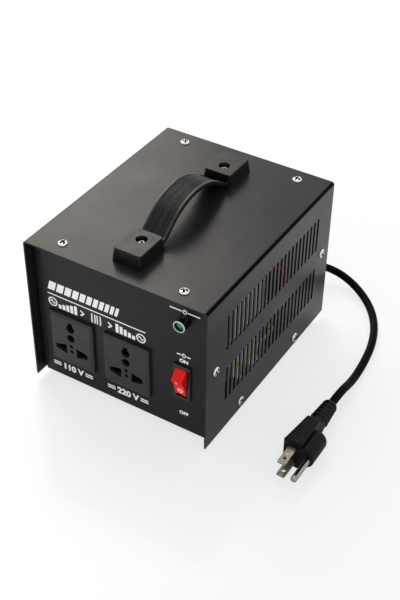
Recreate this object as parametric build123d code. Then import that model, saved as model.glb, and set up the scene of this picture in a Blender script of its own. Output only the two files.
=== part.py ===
from build123d import *
import math
import os

# Travel voltage converter: a black sheet-steel box with a strap handle, two universal outlets,
# a pilot lamp and a rocker switch in front, and its input selector, fuse and lead at the back.
# Millimetres, +Z up, front towards -Y. The origin is on the table, under the middle of the box.

# Box and sheet
cover_w = 151.0
cover_d = 184.0
cover_h = 125.0
sheet_t = 1.2
cover_fold_r = 2.5
chassis_fold_r = 2.0
panel_recess = 8.0
flange_d = 12.0
corner_relief = 3.0
seam_gap = 1.0
overrun = 2.0
seat_gap = 0.1

# Rubber feet and their screws
foot_h = 5.0
foot_d = 15.0
foot_top_d = 17.0
foot_inset = 17.0
foot_well_d = 8.0
foot_floor_t = 2.0
foot_screw_d = 3.0
foot_screw_head_d = 6.0
foot_screw_head_h = 1.8
foot_screw_l = 8.0

# Side vents
vent_count = 24
vent_pitch_share = 0.03152
vent_w = 3.2
vent_h_share = 0.2448
vent_shift_y = 2.0
vent_low_share = 0.3392
vent_row_share = 0.3808

# Cover screws
cover_screw_edge = 12.3
top_screw_in = 25.5
side_screw_share = 0.528
base_screw_share = 0.22935
base_screw_z = 7.4
cover_screw_d = 3.0
cover_screw_head_d = 6.8
cover_screw_head_h = 2.0
cover_screw_l = 7.0
cross_w = 1.0
cross_l = 3.8
cross_depth = 1.2

# Strap handle
handle_x = 2.0
handle_y = -3.0
cap_base_w = 25.0
cap_base_l = 31.0
cap_taper = 1.3
cap_h = 11.0
cap_corner_r = 2.4
cap_edge_r = 0.7
cap_inner_share = 0.2375
cap_hole_d = 8.6
strap_w = 20.5
strap_t = 3.0
strap_bead = 0.5
strap_bead_w = 2.2
strap_seat_z = 3.4
strap_tail_l = 20.3
strap_bend_in = 2.4
strap_bend_r = 7.0
strap_rise = 16.9
strap_slope = 35.0
strap_arch_share = 0.97
cap_screw_in = 11.7
handle_screw_d = 4.0
handle_screw_head_d = 7.4
handle_screw_head_h = 2.4
handle_screw_l = 14.0
nut_m4_af = 7.0
nut_m4_h = 3.2

# Front panel, from left to right: how its free width is shared out
front_left_share = 0.1995
front_outlets_share = 0.172
front_switch_share = 0.3502

# Outlets: frame with its openings, body behind the panel, brass leaves
outlet_w = 39.0
outlet_h = 44.6
outlet_t = 3.2
outlet_bevel = 2.2
outlet_lip = 1.0
outlet_z = 42.3
outlet_body_w = 33.4
outlet_body_h = 38.8
outlet_body_t = 21.0
outlet_catch = 0.9
outlet_catch_l = 4.0
outlet_cut_gap = 0.3
blade_slot_z = -8.9
blade_slot_in = 4.4
blade_slot_out = 14.2
blade_slot_tall = 8.8
blade_slot_short = 4.2
earth_z = 12.0
earth_d = 7.2
earth_key_w = 3.8
earth_key_h = 5.6
middle_hole_z = 3.2
middle_hole_d = 6.8
small_hole_d = 3.2
small_hole_zs = (-4.4, -9.4)
cell_depth = 16.0
tray_wall = 2.0
post_d = 4.0
leaf_gap = 5.0
leaf_w = 6.6
leaf_t = 0.6
leaf_l = 13.0
leaf_shift_x = 8.4
tab_w = 4.8
tab_t = 0.8
tab_l = 8.0
outlet_screw_x = 10.6
outlet_screw_z = -3.5
outlet_screw_d = 2.0
outlet_screw_head_d = 3.8
outlet_screw_head_h = 1.2
outlet_screw_bite = 2.0

# Parts that stand out of the panels
panel_fitting_reach = 8.5

# Pilot lamp
lamp_shift_x = 2.1
lamp_below_top = 20.1
lamp_d = 9.8
lamp_rim_t = 0.8
lamp_rim_step = 0.2
lamp_bore_d = 7.8
lamp_bore_l = 4.5
lamp_neck_d = 8.2
lamp_neck_l = 10.0
lamp_lens_t = 2.6
lamp_lens_dome = 0.9
lamp_nut_af = 11.0
lamp_nut_h = 2.6
lamp_pin_d = 1.0
lamp_pin_l = 7.0
lamp_pin_pitch = 3.0

# Rocker switch
switch_z = 47.9
bezel_w = 14.2
bezel_h = 31.4
bezel_t = 2.0
bezel_edge = 0.7
switch_body_w = 12.6
switch_body_h = 27.6
switch_body_t = 20.0
switch_well_t = 15.0
rocker_w = 8.4
rocker_gap = 0.35
rocker_chord = 18.0
rocker_face = 5.6
rocker_dish = 0.8
rocker_shoulder = 12.4
rocker_shoulder_back = 2.3
rocker_back = 3.3
rocker_tilt = 20.0
rocker_pivot_back = 1.5
trunnion_d = 2.4
trunnion_l = 0.7
switch_tab_pitch = 8.4

# Fuse holder, its cap and the glass fuse
fuse_edge = 28.3
fuse_z = 38.0
fuse_flange_d = 16.0
fuse_flange_t = 2.0
fuse_barrel_d = 12.0
fuse_barrel_l = 32.0
fuse_bore_d = 10.2
fuse_nut_af = 15.0
fuse_nut_h = 3.0
fuse_cap_d = 13.0
fuse_cap_stem_d = 9.4
fuse_cap_stem_l = 9.0
fuse_cap_slot_w = 1.4
fuse_cap_slot_depth = 1.6
fuse_cap_flutes = 16
fuse_cap_flute_d = 1.2
fuse_l = 20.0
fuse_d = 5.2
fuse_glass_d = 4.8
fuse_glass_wall = 0.5
fuse_ferrule_l = 5.2
fuse_ferrule_t = 0.2
fuse_grip_l = 5.4
moving_gap = 0.3

# Input voltage selector
selector_x = 6.0
selector_z = 78.0
selector_flange_w = 33.0
selector_flange_h = 15.0
selector_flange_t = 1.2
selector_body_w = 22.0
selector_body_h = 12.6
selector_body_t = 10.0
selector_window_h = 7.0
selector_slider_w = 7.6
selector_slider_reach = 0.9
selector_slider_l = 5.0
selector_travel = 5.6
selector_groove_w = 1.6
selector_groove_depth = 1.0
selector_screw_pitch = 27.0
selector_screw_d = 2.6
selector_screw_head_d = 5.0
selector_screw_head_h = 1.5
selector_screw_l = 5.0

# Lead, its bushing and the plug
cord_d = 6.4
gland_edge = 44.3
gland_z = 18.0
gland_flange_w = 16.0
gland_flange_h = 14.0
gland_flange_t = 2.6
gland_flange_r = 3.0
gland_neck_d = 12.2
gland_inner_l = 10.0
gland_tail_l = 8.4
gland_tail_d = 11.6
gland_tail_end_d = 8.6
gland_groove_w = 1.2
gland_groove_depth = 1.0
# The lead's route: x and y from the end of its bushing, z from the table
cord_route = [
    (0.0, 0.0, 18.0), (0.0, 10.0, 18.0), (3.3, 21.6, 17.3), (10.3, 31.6, 16.2),
    (20.2, 38.6, 14.6), (32.0, 42.2, 12.4), (44.6, 42.0, 9.6), (60.0, 36.6, 6.2),
    (76.4, 24.2, 4.0), (89.4, 5.8, 3.3), (98.0, -17.0, 3.3), (102.0, -42.0, 3.3),
    (103.8, -67.0, 5.0), (104.2, -89.0, 12.5), (104.2, -106.0, 12.5),
]
plug_l = 58.5
plug_grip_l = 27.0
plug_left = 8.4
plug_right = 5.6
plug_waist = 3.6
plug_edge_r = 1.4
plug_neck_l = 5.0
plug_neck_d = 13.4
plug_neck_corner_share = 0.4
plug_tail_d = 9.8
plug_rib_count = 4
plug_rib_w = 2.6
plug_rib_pitch = 4.0
plug_rib_end = 2.2
plug_rib_out = 1.5
lobe_r = 8.2
lobe_tip_share = 0.45
lobe_x = 7.2
lobe_l = 23.0
blade_w = 6.35
blade_t = 1.5
blade_l = 16.5
blade_pitch = 12.7
blade_shift_x = -0.9
blade_hole_d = 3.1
blade_hole_y = 11.6
blade_root = 6.0
ground_pin_d = 4.75
ground_pin_l = 20.3
ground_pin_x = 11.9
ground_pin_tip_share = 0.45

# Transformer
core_side_room = 21.8
core_end_room = 54.0
core_y = 4.0
core_h_share = 5 / 6
limb_share = 1 / 3
window_w_share = 1 / 6
window_h_share = 1 / 2
bobbin_wall = 1.4
bobbin_gap = 0.3
bobbin_flange_t = 1.6
coil_out_share = 0.9257
coil_corner_r = 7.0
bracket_t = 1.5
bracket_l_share = 0.7333
bracket_foot_w = 14.0
bracket_bend_r = 3.0
bracket_bolt_d = 5.0
bracket_bolt_share = 0.2955
bracket_bolt_head_d = 8.5
bracket_bolt_head_h = 2.6
nut_m5_af = 8.0
nut_m5_h = 4.0
washer_d = 10.0
washer_t = 1.0
cutout_w = 16.0
cutout_h = 7.0
cutout_t = 4.4

# Wiring
terminal_shift_x = 2.0
terminal_rear = 28.0
terminal_w = 44.0
terminal_d = 12.0
terminal_h = 15.0
terminal_ways = 4
terminal_well_d = 4.6
terminal_wire_z = 6.0
terminal_screw_d = 3.4
terminal_screw_h = 4.0
wire_d = 2.6
wire_turn_r = 6.0
lead_core_spread = 2.7
stud_rear = 18.0
stud_d = 4.0
stud_l = 12.0
stud_head_d = 7.0
stud_head_h = 2.2
stud_washer_d = 9.0
stud_washer_t = 1.0
ring_barrel_d = 4.0
ring_barrel_l = 6.0

# Places that several parts share
base_z = foot_h
top_z = foot_h + cover_h
inner_x = cover_w / 2 - sheet_t
panel_y = cover_d / 2 - panel_recess
floor_z = base_z + sheet_t
lid_z = top_z - sheet_t
vent_pitch = cover_d * vent_pitch_share
vent_h = cover_h * vent_h_share
cover_screw_y = cover_d / 2 - cover_screw_edge
top_screw_x = cover_w / 2 - top_screw_in
base_screw_y = cover_d * base_screw_share

# Places along the strap handle
cap_inner_y = cover_d * cap_inner_share
strap_end_y = cap_inner_y + strap_tail_l
strap_bend_y = cap_inner_y - strap_bend_in
handle_screw_y = cap_inner_y + cap_screw_in

# Places on the front panel
front_free = 2 * inner_x - 2 * outlet_w - bezel_w
left_outlet_x = -inner_x + front_free * front_left_share + outlet_w / 2
right_outlet_x = left_outlet_x + outlet_w + front_free * front_outlets_share
outlet_xs = {"left": left_outlet_x, "right": right_outlet_x}
switch_x = right_outlet_x + outlet_w / 2 + front_free * front_switch_share + bezel_w / 2
lamp_x = switch_x + lamp_shift_x
lamp_z = cover_h - lamp_below_top

# Places on the rear panel, along the lead and behind the transformer
fuse_x = fuse_edge - inner_x
gland_x = inner_x - gland_edge
cord_start_y = panel_y + gland_flange_t + gland_tail_l
plug_x = gland_x + cord_route[-1][0]
plug_end_y = cord_start_y + cord_route[-1][1]
plug_half = cord_route[-1][2]
terminal_x = gland_x - terminal_shift_x
terminal_y = panel_y - terminal_rear
stud_x = -gland_x
stud_y = panel_y - stud_rear

# Transformer: the core fills the box's width and depth but for room for the fittings, and its
# limbs and windows keep the proportions of standard E and I sheets
core_w = 2 * (inner_x - core_side_room)
core_t = 2 * (panel_y - core_end_room)
core_h = core_w * core_h_share
limb_w = core_w * limb_share
window_w = core_w * window_w_share
window_h = core_w * window_h_share
core_z = floor_z + core_h / 2
coil_out = window_w * coil_out_share
bracket_l = core_t * bracket_l_share
bracket_bolt_y = bracket_l * bracket_bolt_share


def block(x0, x1, y0, y1, z0, z1):
    """A box between two corners."""
    middle = Pos((x0 + x1) / 2, (y0 + y1) / 2, (z0 + z1) / 2)
    return middle * Box(x1 - x0, y1 - y0, z1 - z0)


def disc_z(d, z0, z1, x=0, y=0):
    """A cylinder along Z."""
    return Pos(x, y, (z0 + z1) / 2) * Cylinder(d / 2, z1 - z0)


def disc_y(d, y0, y1, x=0, z=0):
    """A cylinder along Y."""
    return Pos(x, (y0 + y1) / 2, z) * Rot(90, 0, 0) * Cylinder(d / 2, y1 - y0)


def disc_x(d, x0, x1, y=0, z=0):
    """A cylinder along X."""
    return Pos((x0 + x1) / 2, y, z) * Rot(0, 90, 0) * Cylinder(d / 2, x1 - x0)


def hexagon(af, h, hole_d):
    """A hexagon nut on the XY plane, by its width across flats."""
    across_corners = af / math.cos(math.pi / 6)
    return extrude(RegularPolygon(across_corners / 2, 6) - Circle(hole_d / 2), h)


def domed_disc(d, h, rise):
    """A disc on the XY plane whose top is a cap of a sphere."""
    r = d / 2
    sphere_r = (r * r + rise * rise) / (2 * rise)
    half_angle = math.asin(r / sphere_r) / 2
    middle = (sphere_r * math.sin(half_angle),
              h + rise - sphere_r * (1 - math.cos(half_angle)))
    crown = ThreePointArc((r, h), middle, (0, h + rise))
    outline = Polyline((0, 0), (r, 0), (r, h)) + crown + Line((0, h + rise), (0, 0))
    return revolve(Plane.XZ * make_face(outline), Axis.Z)


def pan_screw(d, length, head_d, head_h):
    """A cross-recess screw that points down, with the underside of its head at z = 0."""
    edge = head_h / 3
    head = domed_disc(head_d, edge, head_h - edge)
    size = head_d / cover_screw_head_d
    for turn in (0, 90):
        arm = Box(cross_l * size, cross_w * size, cross_depth * size * 2)
        head -= Pos(0, 0, head_h) * Rot(0, 0, turn) * arm
    return head + disc_z(d, -length, 0)


def rounded_plate(w, h, t, r):
    """A plate in the XZ plane, from y = 0 towards -Y."""
    return extrude(Plane.XZ * RectangleRounded(w, h, r), t)


def as_group(solids):
    """Separate solids that share one node."""
    return Compound(children=[s for item in solids for s in item.solids()])


def box_cover():
    """Top and both sides, folded from one sheet, open at the front, back and bottom."""
    outer = Pos(0, base_z + cover_h / 2) * Rectangle(cover_w, cover_h)
    outer = fillet(outer.vertices().group_by(Axis.Y)[-1], cover_fold_r)
    inner_h = cover_h - sheet_t + overrun
    inner = Pos(0, lid_z - inner_h / 2) * Rectangle(2 * inner_x, inner_h)
    inner = fillet(inner.vertices().group_by(Axis.Y)[-1], cover_fold_r - sheet_t)
    shell = extrude(Plane.XZ * (outer - inner), cover_d / 2, both=True)
    low_row = base_z + cover_h * vent_low_share
    rows = [low_row, low_row + cover_h * vent_row_share]
    slots = Sketch()
    for z in rows:
        for n in range(vent_count):
            y = vent_shift_y + (n - (vent_count - 1) / 2) * vent_pitch
            slots += Pos(y, z) * SlotOverall(vent_h, vent_w, rotation=90)
    shell -= extrude(Plane.YZ * slots, cover_w, both=True)
    hole = cover_screw_d + 3 * seat_gap
    for x in (-top_screw_x, top_screw_x):
        for y in (-cover_screw_y, cover_screw_y):
            shell -= disc_z(hole, lid_z - overrun, top_z + overrun, x, y)
    for y, z in side_screw_places():
        shell -= disc_x(hole, -cover_w, cover_w, y, z)
    for y in handle_screw_ys():
        shell -= disc_z(handle_screw_d + 3 * seat_gap, lid_z - overrun, top_z + overrun, handle_x, y)
    return shell


def side_screw_places():
    """Where the screws enter each side: at mid height by the panels, and low along the base."""
    high = base_z + cover_h * side_screw_share
    ends = [(y, high) for y in (-cover_screw_y, cover_screw_y)]
    return ends + [(y, base_z + base_screw_z) for y in (-base_screw_y, base_screw_y)]


def handle_screw_ys():
    return [handle_y - handle_screw_y, handle_y + handle_screw_y]


def chassis():
    """Base with its front and rear panels and their turned-in flanges, folded from one sheet."""
    def hollow(shrink, radius):
        solid = block(-inner_x + shrink, inner_x - shrink, -panel_y + shrink, panel_y - shrink,
                      base_z + shrink, lid_z - shrink)
        return fillet(solid.edges(), radius)

    tray = hollow(0, chassis_fold_r) - hollow(sheet_t, chassis_fold_r - sheet_t)
    tray -= block(-cover_w, cover_w, flange_d - panel_y, panel_y - flange_d,
                  base_z + flange_d, top_z + overrun)
    for side in (-1, 1):
        edge = side * inner_x
        for end in (-1, 1):
            wall = end * panel_y
            notch = Box(2 * corner_relief, 2 * corner_relief, 2 * corner_relief)
            tray -= Pos(edge, wall, base_z) * notch
            tray -= Pos(edge, wall, lid_z) * notch
            slit = Box(2 * corner_relief, 2 * flange_d, seam_gap)
            tray -= Pos(edge, wall - end * (flange_d + sheet_t), base_z + flange_d) * slit
            tray -= Pos(edge, wall - end * (flange_d + 2 * sheet_t), lid_z) * Box(
                2 * corner_relief, 2 * flange_d, 2 * corner_relief)
    return tray - chassis_holes()


def chassis_holes():
    """Every opening of the chassis, taken from the parts that go through it."""
    holes = []
    pilot = cover_screw_d + 2 * seat_gap
    for x in (-top_screw_x, top_screw_x):
        for y in (-cover_screw_y, cover_screw_y):
            holes.append(disc_z(pilot, lid_z - sheet_t - overrun, lid_z + overrun, x, y))
    for y, z in side_screw_places():
        holes.append(disc_x(pilot, -cover_w, cover_w, y, z))
    front = (-panel_y - overrun, -panel_y + sheet_t + overrun)
    rear = (panel_y - sheet_t - overrun, panel_y + overrun)
    for x in outlet_xs.values():
        half_w = outlet_body_w / 2 + outlet_cut_gap
        half_h = outlet_body_h / 2 + outlet_cut_gap
        z = base_z + outlet_z
        holes.append(block(x - half_w, x + half_w, *front, z - half_h, z + half_h))
    half_w = switch_body_w / 2 + seat_gap
    half_h = switch_body_h / 2 + seat_gap
    z = base_z + switch_z
    holes.append(block(switch_x - half_w, switch_x + half_w, *front, z - half_h, z + half_h))
    holes.append(disc_y(lamp_neck_d + 2 * seat_gap, *front, lamp_x, base_z + lamp_z))
    holes.append(disc_y(fuse_barrel_d + 2 * seat_gap, *rear, fuse_x, fuse_z))
    holes.append(disc_y(gland_neck_d + 2 * seat_gap, *rear, gland_x, gland_z))
    half_w = selector_slider_w / 2 + selector_travel / 2 + 2 * moving_gap
    half_h = selector_window_h / 2
    holes.append(block(selector_x - half_w, selector_x + half_w, *rear,
                       selector_z - half_h, selector_z + half_h))
    for x in selector_screw_xs():
        holes.append(disc_y(selector_screw_d + 2 * seat_gap, *rear, x, selector_z))
    low = (base_z - overrun, floor_z + overrun)
    for x, y in foot_places():
        holes.append(disc_z(foot_screw_d + 2 * seat_gap, *low, x, y))
    for x, y in bracket_bolt_places():
        holes.append(disc_z(bracket_bolt_d + 2 * seat_gap, *low, x, y))
    holes.append(disc_z(stud_d + 2 * seat_gap, *low, stud_x, stud_y))
    return holes


def cover_top_screws():
    screw = pan_screw(cover_screw_d, cover_screw_l, cover_screw_head_d, cover_screw_head_h)
    places = [(x, y) for x in (-top_screw_x, top_screw_x) for y in (-cover_screw_y, cover_screw_y)]
    return as_group([Pos(x, y, top_z) * Rot(0, 0, 20 + 37 * n) * screw
                     for n, (x, y) in enumerate(places)])


def cover_side_screws():
    screw = pan_screw(cover_screw_d, cover_screw_l, cover_screw_head_d, cover_screw_head_h)
    solids = []
    for side in (-1, 1):
        for n, (y, z) in enumerate(side_screw_places()):
            turned = Rot(0, 90 * side, 0) * Rot(0, 0, 15 + 41 * n) * screw
            solids.append(Pos(side * cover_w / 2, y, z) * turned)
    return as_group(solids)


def strap_path():
    """The strap's middle line: flat in the caps, then a springy arch between them."""
    flat_z = top_z + strap_seat_z + strap_t / 2
    shoulder = strap_bend_y - strap_rise / math.tan(math.radians(strap_slope))
    points = [(-strap_end_y, 0), (-strap_bend_y, 0), (-shoulder, strap_rise),
              (shoulder, strap_rise), (strap_bend_y, 0), (strap_end_y, 0)]
    arch_r = strap_arch_share * shoulder / math.tan(math.radians(strap_slope) / 2)
    points = [(handle_x, handle_y + y, flat_z + z) for y, z in points]
    return FilletPolyline(*points, radius=[strap_bend_r, arch_r, arch_r, strap_bend_r])


def handle_strap():
    """Flexible strap with a bead along each edge, pierced at both ends for its screws."""
    path = strap_path()
    section = Rectangle(strap_t, strap_w)
    bead_x = strap_w / 2 - strap_bead_w / 2
    for x in (-bead_x, bead_x):
        section += Pos(0, x) * Rectangle(strap_t + 2 * strap_bead, strap_bead_w)
    section = fillet(section.vertices(), strap_bead * 0.45)
    start = Plane(origin=path @ 0, x_dir=(0, 0, 1), z_dir=(0, 1, 0))
    strap = sweep(start * section, path)
    low = top_z + strap_seat_z
    for end in (-1, 1):
        y = handle_y + end * strap_end_y
        inner = handle_y + end * cap_inner_y
        for edge in (low - strap_t, low + strap_t):
            band = block(handle_x - strap_w, handle_x + strap_w, min(y, inner), max(y, inner),
                         edge, edge + strap_t)
            strap -= band
        hole = handle_screw_d + 4 * seat_gap
        screw_y = handle_y + end * handle_screw_y
        strap -= disc_z(hole, low - overrun, low + strap_t + overrun, handle_x, screw_y)
    return strap


def handle_cap(end):
    """A tapered end cap over the strap's end, with the deep hole that its screw sits in."""
    y = handle_y + end * (cap_inner_y + cap_base_l / 2)
    base = Pos(handle_x, y, top_z) * RectangleRounded(cap_base_w, cap_base_l, cap_corner_r)
    top = Pos(handle_x, y, top_z + cap_h) * RectangleRounded(
        cap_base_w - 2 * cap_taper, cap_base_l - 2 * cap_taper, cap_corner_r)
    cap = loft([base, top])
    cap = fillet(cap.faces().sort_by(Axis.Z)[-1].edges(), cap_edge_r)
    low = top_z + strap_seat_z - seat_gap
    high = top_z + strap_seat_z + strap_t + seat_gap
    half = strap_w / 2 + seat_gap
    near = handle_y + end * (cap_inner_y - overrun)
    far = handle_y + end * (strap_end_y + 3 * seat_gap)
    cap -= block(handle_x - half, handle_x + half, min(near, far), max(near, far), low, high)
    screw_y = handle_y + end * handle_screw_y
    cap -= disc_z(cap_hole_d, low, top_z + cap_h + overrun, handle_x, screw_y)
    return cap - disc_z(handle_screw_d + 4 * seat_gap, top_z - overrun, low, handle_x, screw_y)


def handle_screws():
    screw = pan_screw(handle_screw_d, handle_screw_l, handle_screw_head_d, handle_screw_head_h)
    seat = top_z + strap_seat_z + strap_t
    return as_group([Pos(handle_x, y, seat) * Rot(0, 0, 25) * screw for y in handle_screw_ys()])


def handle_nuts():
    nut = hexagon(nut_m4_af, nut_m4_h, handle_screw_d + seat_gap)
    washer = disc_z(washer_d, -washer_t, 0) - disc_z(handle_screw_d + seat_gap, -overrun, overrun)
    solids = []
    for y in handle_screw_ys():
        solids.append(Pos(handle_x, y, lid_z) * washer)
        solids.append(Pos(handle_x, y, lid_z - washer_t - nut_m4_h) * nut)
    return as_group(solids)


def outlet_openings(grow):
    """The plug openings of one outlet, as a sketch around its middle."""
    sketch = Sketch()
    for side in (-1, 1):
        near = side * (blade_slot_in - grow)
        far = side * (blade_slot_out + grow)
        tall = blade_slot_tall / 2 + grow
        short = blade_slot_short / 2 + grow
        outline = Polyline((near, -tall), (far, -short), (far, short), (near, tall), close=True)
        sketch += Pos(0, blade_slot_z) * make_face(outline)
    sketch += Pos(0, earth_z) * Circle(earth_d / 2 + grow)
    key = Rectangle(earth_key_w + 2 * grow, earth_key_h, align=(Align.CENTER, Align.MIN))
    sketch += Pos(0, earth_z) * key
    sketch += Pos(0, middle_hole_z) * Circle(middle_hole_d / 2 + grow)
    for z in small_hole_zs:
        sketch += Pos(0, z) * Circle(small_hole_d / 2 + grow)
    return sketch


def outlet_face(x):
    """The moulded frame of one outlet with its bevelled rim and its openings."""
    z = base_z + outlet_z
    front = -panel_y - outlet_t
    face = block(x - outlet_w / 2, x + outlet_w / 2, front, -panel_y, z - outlet_h / 2,
                 z + outlet_h / 2)
    front_edges = face.faces().sort_by(Axis.Y)[0].edges()
    face = chamfer(front_edges, length=outlet_bevel, length2=outlet_lip,
                   reference=face.faces().sort_by(Axis.Y)[0])
    place = Plane(origin=(x, front - overrun, z), x_dir=(1, 0, 0), z_dir=(0, 1, 0))
    face -= extrude(place * mirror(outlet_openings(0), about=Plane.XZ), outlet_t + 2 * overrun)
    for side in (-1, 1):
        face -= disc_y(outlet_screw_d + 2 * seat_gap, -panel_y - outlet_screw_bite - seat_gap,
                       -panel_y + overrun, x + side * outlet_screw_x, z + outlet_screw_z)
    return face


def outlet_cells():
    """Middle of the clip behind each opening: two blades and the earth pin."""
    return [(-leaf_shift_x, blade_slot_z), (leaf_shift_x, blade_slot_z), (0, earth_z)]


def outlet_body(x):
    """The rear tray of one outlet: slits for the clips' tabs, posts for its screws, catches."""
    z = base_z + outlet_z
    y0 = -panel_y
    half_w, half_h = outlet_body_w / 2, outlet_body_h / 2
    body = block(x - half_w, x + half_w, y0, y0 + outlet_body_t, z - half_h, z + half_h)
    body -= block(x - half_w + tray_wall, x + half_w - tray_wall, y0 - overrun, y0 + cell_depth,
                  z - half_h + tray_wall, z + half_h - tray_wall)
    for cell_x, cell_z in outlet_cells():
        cx, cz = x + cell_x, z + cell_z
        body -= block(cx - tab_w / 2 - seat_gap, cx + tab_w / 2 + seat_gap, y0, panel_y,
                      cz - tab_t / 2 - seat_gap, cz + tab_t / 2 + seat_gap)
    for side in (-1, 1):
        at = (x + side * outlet_screw_x, z + outlet_screw_z)
        body += disc_y(post_d, y0, y0 + outlet_body_t, *at)
        body -= disc_y(outlet_screw_d + 2 * seat_gap, y0 - overrun,
                       y0 + outlet_body_t + overrun, *at)
        wall = x + side * half_w
        behind = y0 + sheet_t + seat_gap
        outline = Polyline((wall, behind), (wall + side * outlet_catch, behind),
                           (wall, behind + outlet_catch_l), close=True)
        catch = extrude(make_face(outline), outlet_body_h / 6, both=True)
        body += Pos(0, 0, z) * catch
    return body


def outlet_contacts(x):
    """Three brass clips: two leaves joined by a web, with a tab out of the back."""
    z = base_z + outlet_z
    y1 = -panel_y + cell_depth
    solids = []
    for cell_x, cell_z in outlet_cells():
        cx, cz = x + cell_x, z + cell_z
        half = leaf_gap / 2
        clip = block(cx - leaf_w / 2, cx + leaf_w / 2, y1 - leaf_l, y1, cz - half - leaf_t,
                     cz + half + leaf_t)
        clip -= block(cx - leaf_w, cx + leaf_w, y1 - leaf_l - overrun, y1 - leaf_t,
                      cz - half, cz + half)
        reach = -panel_y + outlet_body_t + tab_l
        clip += block(cx - tab_w / 2, cx + tab_w / 2, y1 - leaf_t, reach, cz - tab_t / 2,
                      cz + tab_t / 2)
        solids.append(clip)
    return as_group(solids)


def outlet_screws():
    """Screws from behind that hold each tray to its frame."""
    length = outlet_body_t + outlet_screw_bite
    screw = pan_screw(outlet_screw_d, length, outlet_screw_head_d, outlet_screw_head_h)
    seat = -panel_y + outlet_body_t
    return as_group([Pos(x + side * outlet_screw_x, seat, base_z + outlet_z + outlet_screw_z)
                     * Rot(-90, 0, 0) * screw for x in outlet_xs.values() for side in (-1, 1)])


def lamp_housing():
    """Black tube with a threaded neck through the panel and a bore for its lens."""
    z = base_z + lamp_z
    tip = -panel_y - panel_fitting_reach + lamp_rim_t
    tube = disc_y(lamp_d, tip, -panel_y, lamp_x, z)
    tube += disc_y(lamp_neck_d, -panel_y, -panel_y + lamp_neck_l, lamp_x, z)
    return tube - disc_y(lamp_bore_d, tip - overrun, tip + lamp_bore_l, lamp_x, z)


def lamp_rim():
    """Bright ring on the end of the tube."""
    z = base_z + lamp_z
    tip = -panel_y - panel_fitting_reach
    ring = disc_y(lamp_d - 2 * lamp_rim_step, tip, tip + lamp_rim_t, lamp_x, z)
    ring = fillet(ring.faces().sort_by(Axis.Y)[0].edges(), lamp_rim_t / 2)
    return ring - disc_y(lamp_bore_d, tip - overrun, tip + overrun, lamp_x, z)


def lamp_lens():
    """Green lens, domed at the front, at the bottom of the bore."""
    z = base_z + lamp_z
    back = -panel_y - panel_fitting_reach + lamp_rim_t + lamp_bore_l
    lens = domed_disc(lamp_bore_d - 2 * seat_gap, lamp_lens_t, lamp_lens_dome)
    return Pos(lamp_x, back, z) * Rot(90, 0, 0) * lens


def lamp_nut():
    nut = hexagon(lamp_nut_af, lamp_nut_h, lamp_neck_d + seat_gap)
    return Pos(lamp_x, -panel_y + sheet_t + lamp_nut_h, base_z + lamp_z) * Rot(90, 0, 0) * nut


def lamp_pins():
    """The two solder pins behind the lamp."""
    y = -panel_y + lamp_neck_l
    return as_group([disc_y(lamp_pin_d, y, y + lamp_pin_l, lamp_x + side * lamp_pin_pitch / 2,
                            base_z + lamp_z) for side in (-1, 1)])


def rocker_radius():
    """How far the rocker's shoulders reach from its axis."""
    return math.hypot(rocker_shoulder, rocker_back)


def rocker_pivot():
    """Height and depth of the rocker's axis."""
    return -panel_y - bezel_t + rocker_pivot_back, base_z + switch_z


def switch_frame():
    """Bezel and body of the switch in one moulding, with the well that the rocker tips in."""
    pivot_y, z = rocker_pivot()
    bezel = Pos(switch_x, -panel_y, z) * rounded_plate(bezel_w, bezel_h, bezel_t, bezel_edge)
    bezel = chamfer(bezel.faces().sort_by(Axis.Y)[0].edges(), bezel_edge / 2)
    half_w = switch_body_w / 2
    frame = bezel + block(switch_x - half_w, switch_x + half_w, -panel_y,
                          -panel_y + switch_body_t, z - switch_body_h / 2, z + switch_body_h / 2)
    half_w = rocker_w / 2 + rocker_gap
    half_h = rocker_radius() + rocker_gap
    frame -= block(switch_x - half_w, switch_x + half_w, -panel_y - bezel_t - overrun,
                   -panel_y - bezel_t + switch_well_t, z - half_h, z + half_h)
    reach = half_w + trunnion_l
    frame -= disc_x(trunnion_d + 2 * seat_gap, switch_x - reach, switch_x + reach, pivot_y, z)
    return frame


def switch_rocker():
    """Rocker with a dished face, sloping ends and two trunnions, at rest with OFF pressed."""
    pivot_y, z = rocker_pivot()
    half = rocker_chord / 2
    shoulder = rocker_shoulder
    face_arc = ThreePointArc((-rocker_face, half), (-rocker_face + rocker_dish, 0),
                             (-rocker_face, -half))
    rest = Polyline((-rocker_face, -half), (rocker_shoulder_back, -shoulder),
                    (rocker_back, -shoulder), (rocker_back, shoulder),
                    (rocker_shoulder_back, shoulder), (-rocker_face, half))
    rocker = extrude(Plane.YZ * make_face(face_arc + rest), rocker_w / 2, both=True)
    reach = rocker_w / 2 + rocker_gap + trunnion_l - seat_gap
    rocker += disc_x(trunnion_d, -reach, reach)
    return Pos(switch_x, pivot_y, z) * Rot(rocker_tilt, 0, 0) * rocker


def switch_tabs():
    """Three spade tabs behind the switch."""
    y = -panel_y + switch_body_t
    z = base_z + switch_z
    return as_group([block(switch_x - tab_w / 2, switch_x + tab_w / 2, y, y + tab_l,
                           z + n * switch_tab_pitch - tab_t / 2,
                           z + n * switch_tab_pitch + tab_t / 2) for n in (-1, 0, 1)])


def fuse_seat_y():
    """The inner end of the fuse, a running gap above the holder's floor."""
    return panel_y + fuse_flange_t - fuse_cap_stem_l + fuse_grip_l - fuse_l


def fuse_holder():
    """Flanged barrel through the rear panel, with the bore for the fuse and its cap."""
    back = panel_y - fuse_barrel_l
    holder = disc_y(fuse_flange_d, panel_y, panel_y + fuse_flange_t, fuse_x, fuse_z)
    holder += disc_y(fuse_barrel_d, back, panel_y, fuse_x, fuse_z)
    floor_y = fuse_seat_y() - moving_gap
    return holder - disc_y(fuse_bore_d, floor_y, panel_y + fuse_flange_t + overrun, fuse_x, fuse_z)


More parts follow.
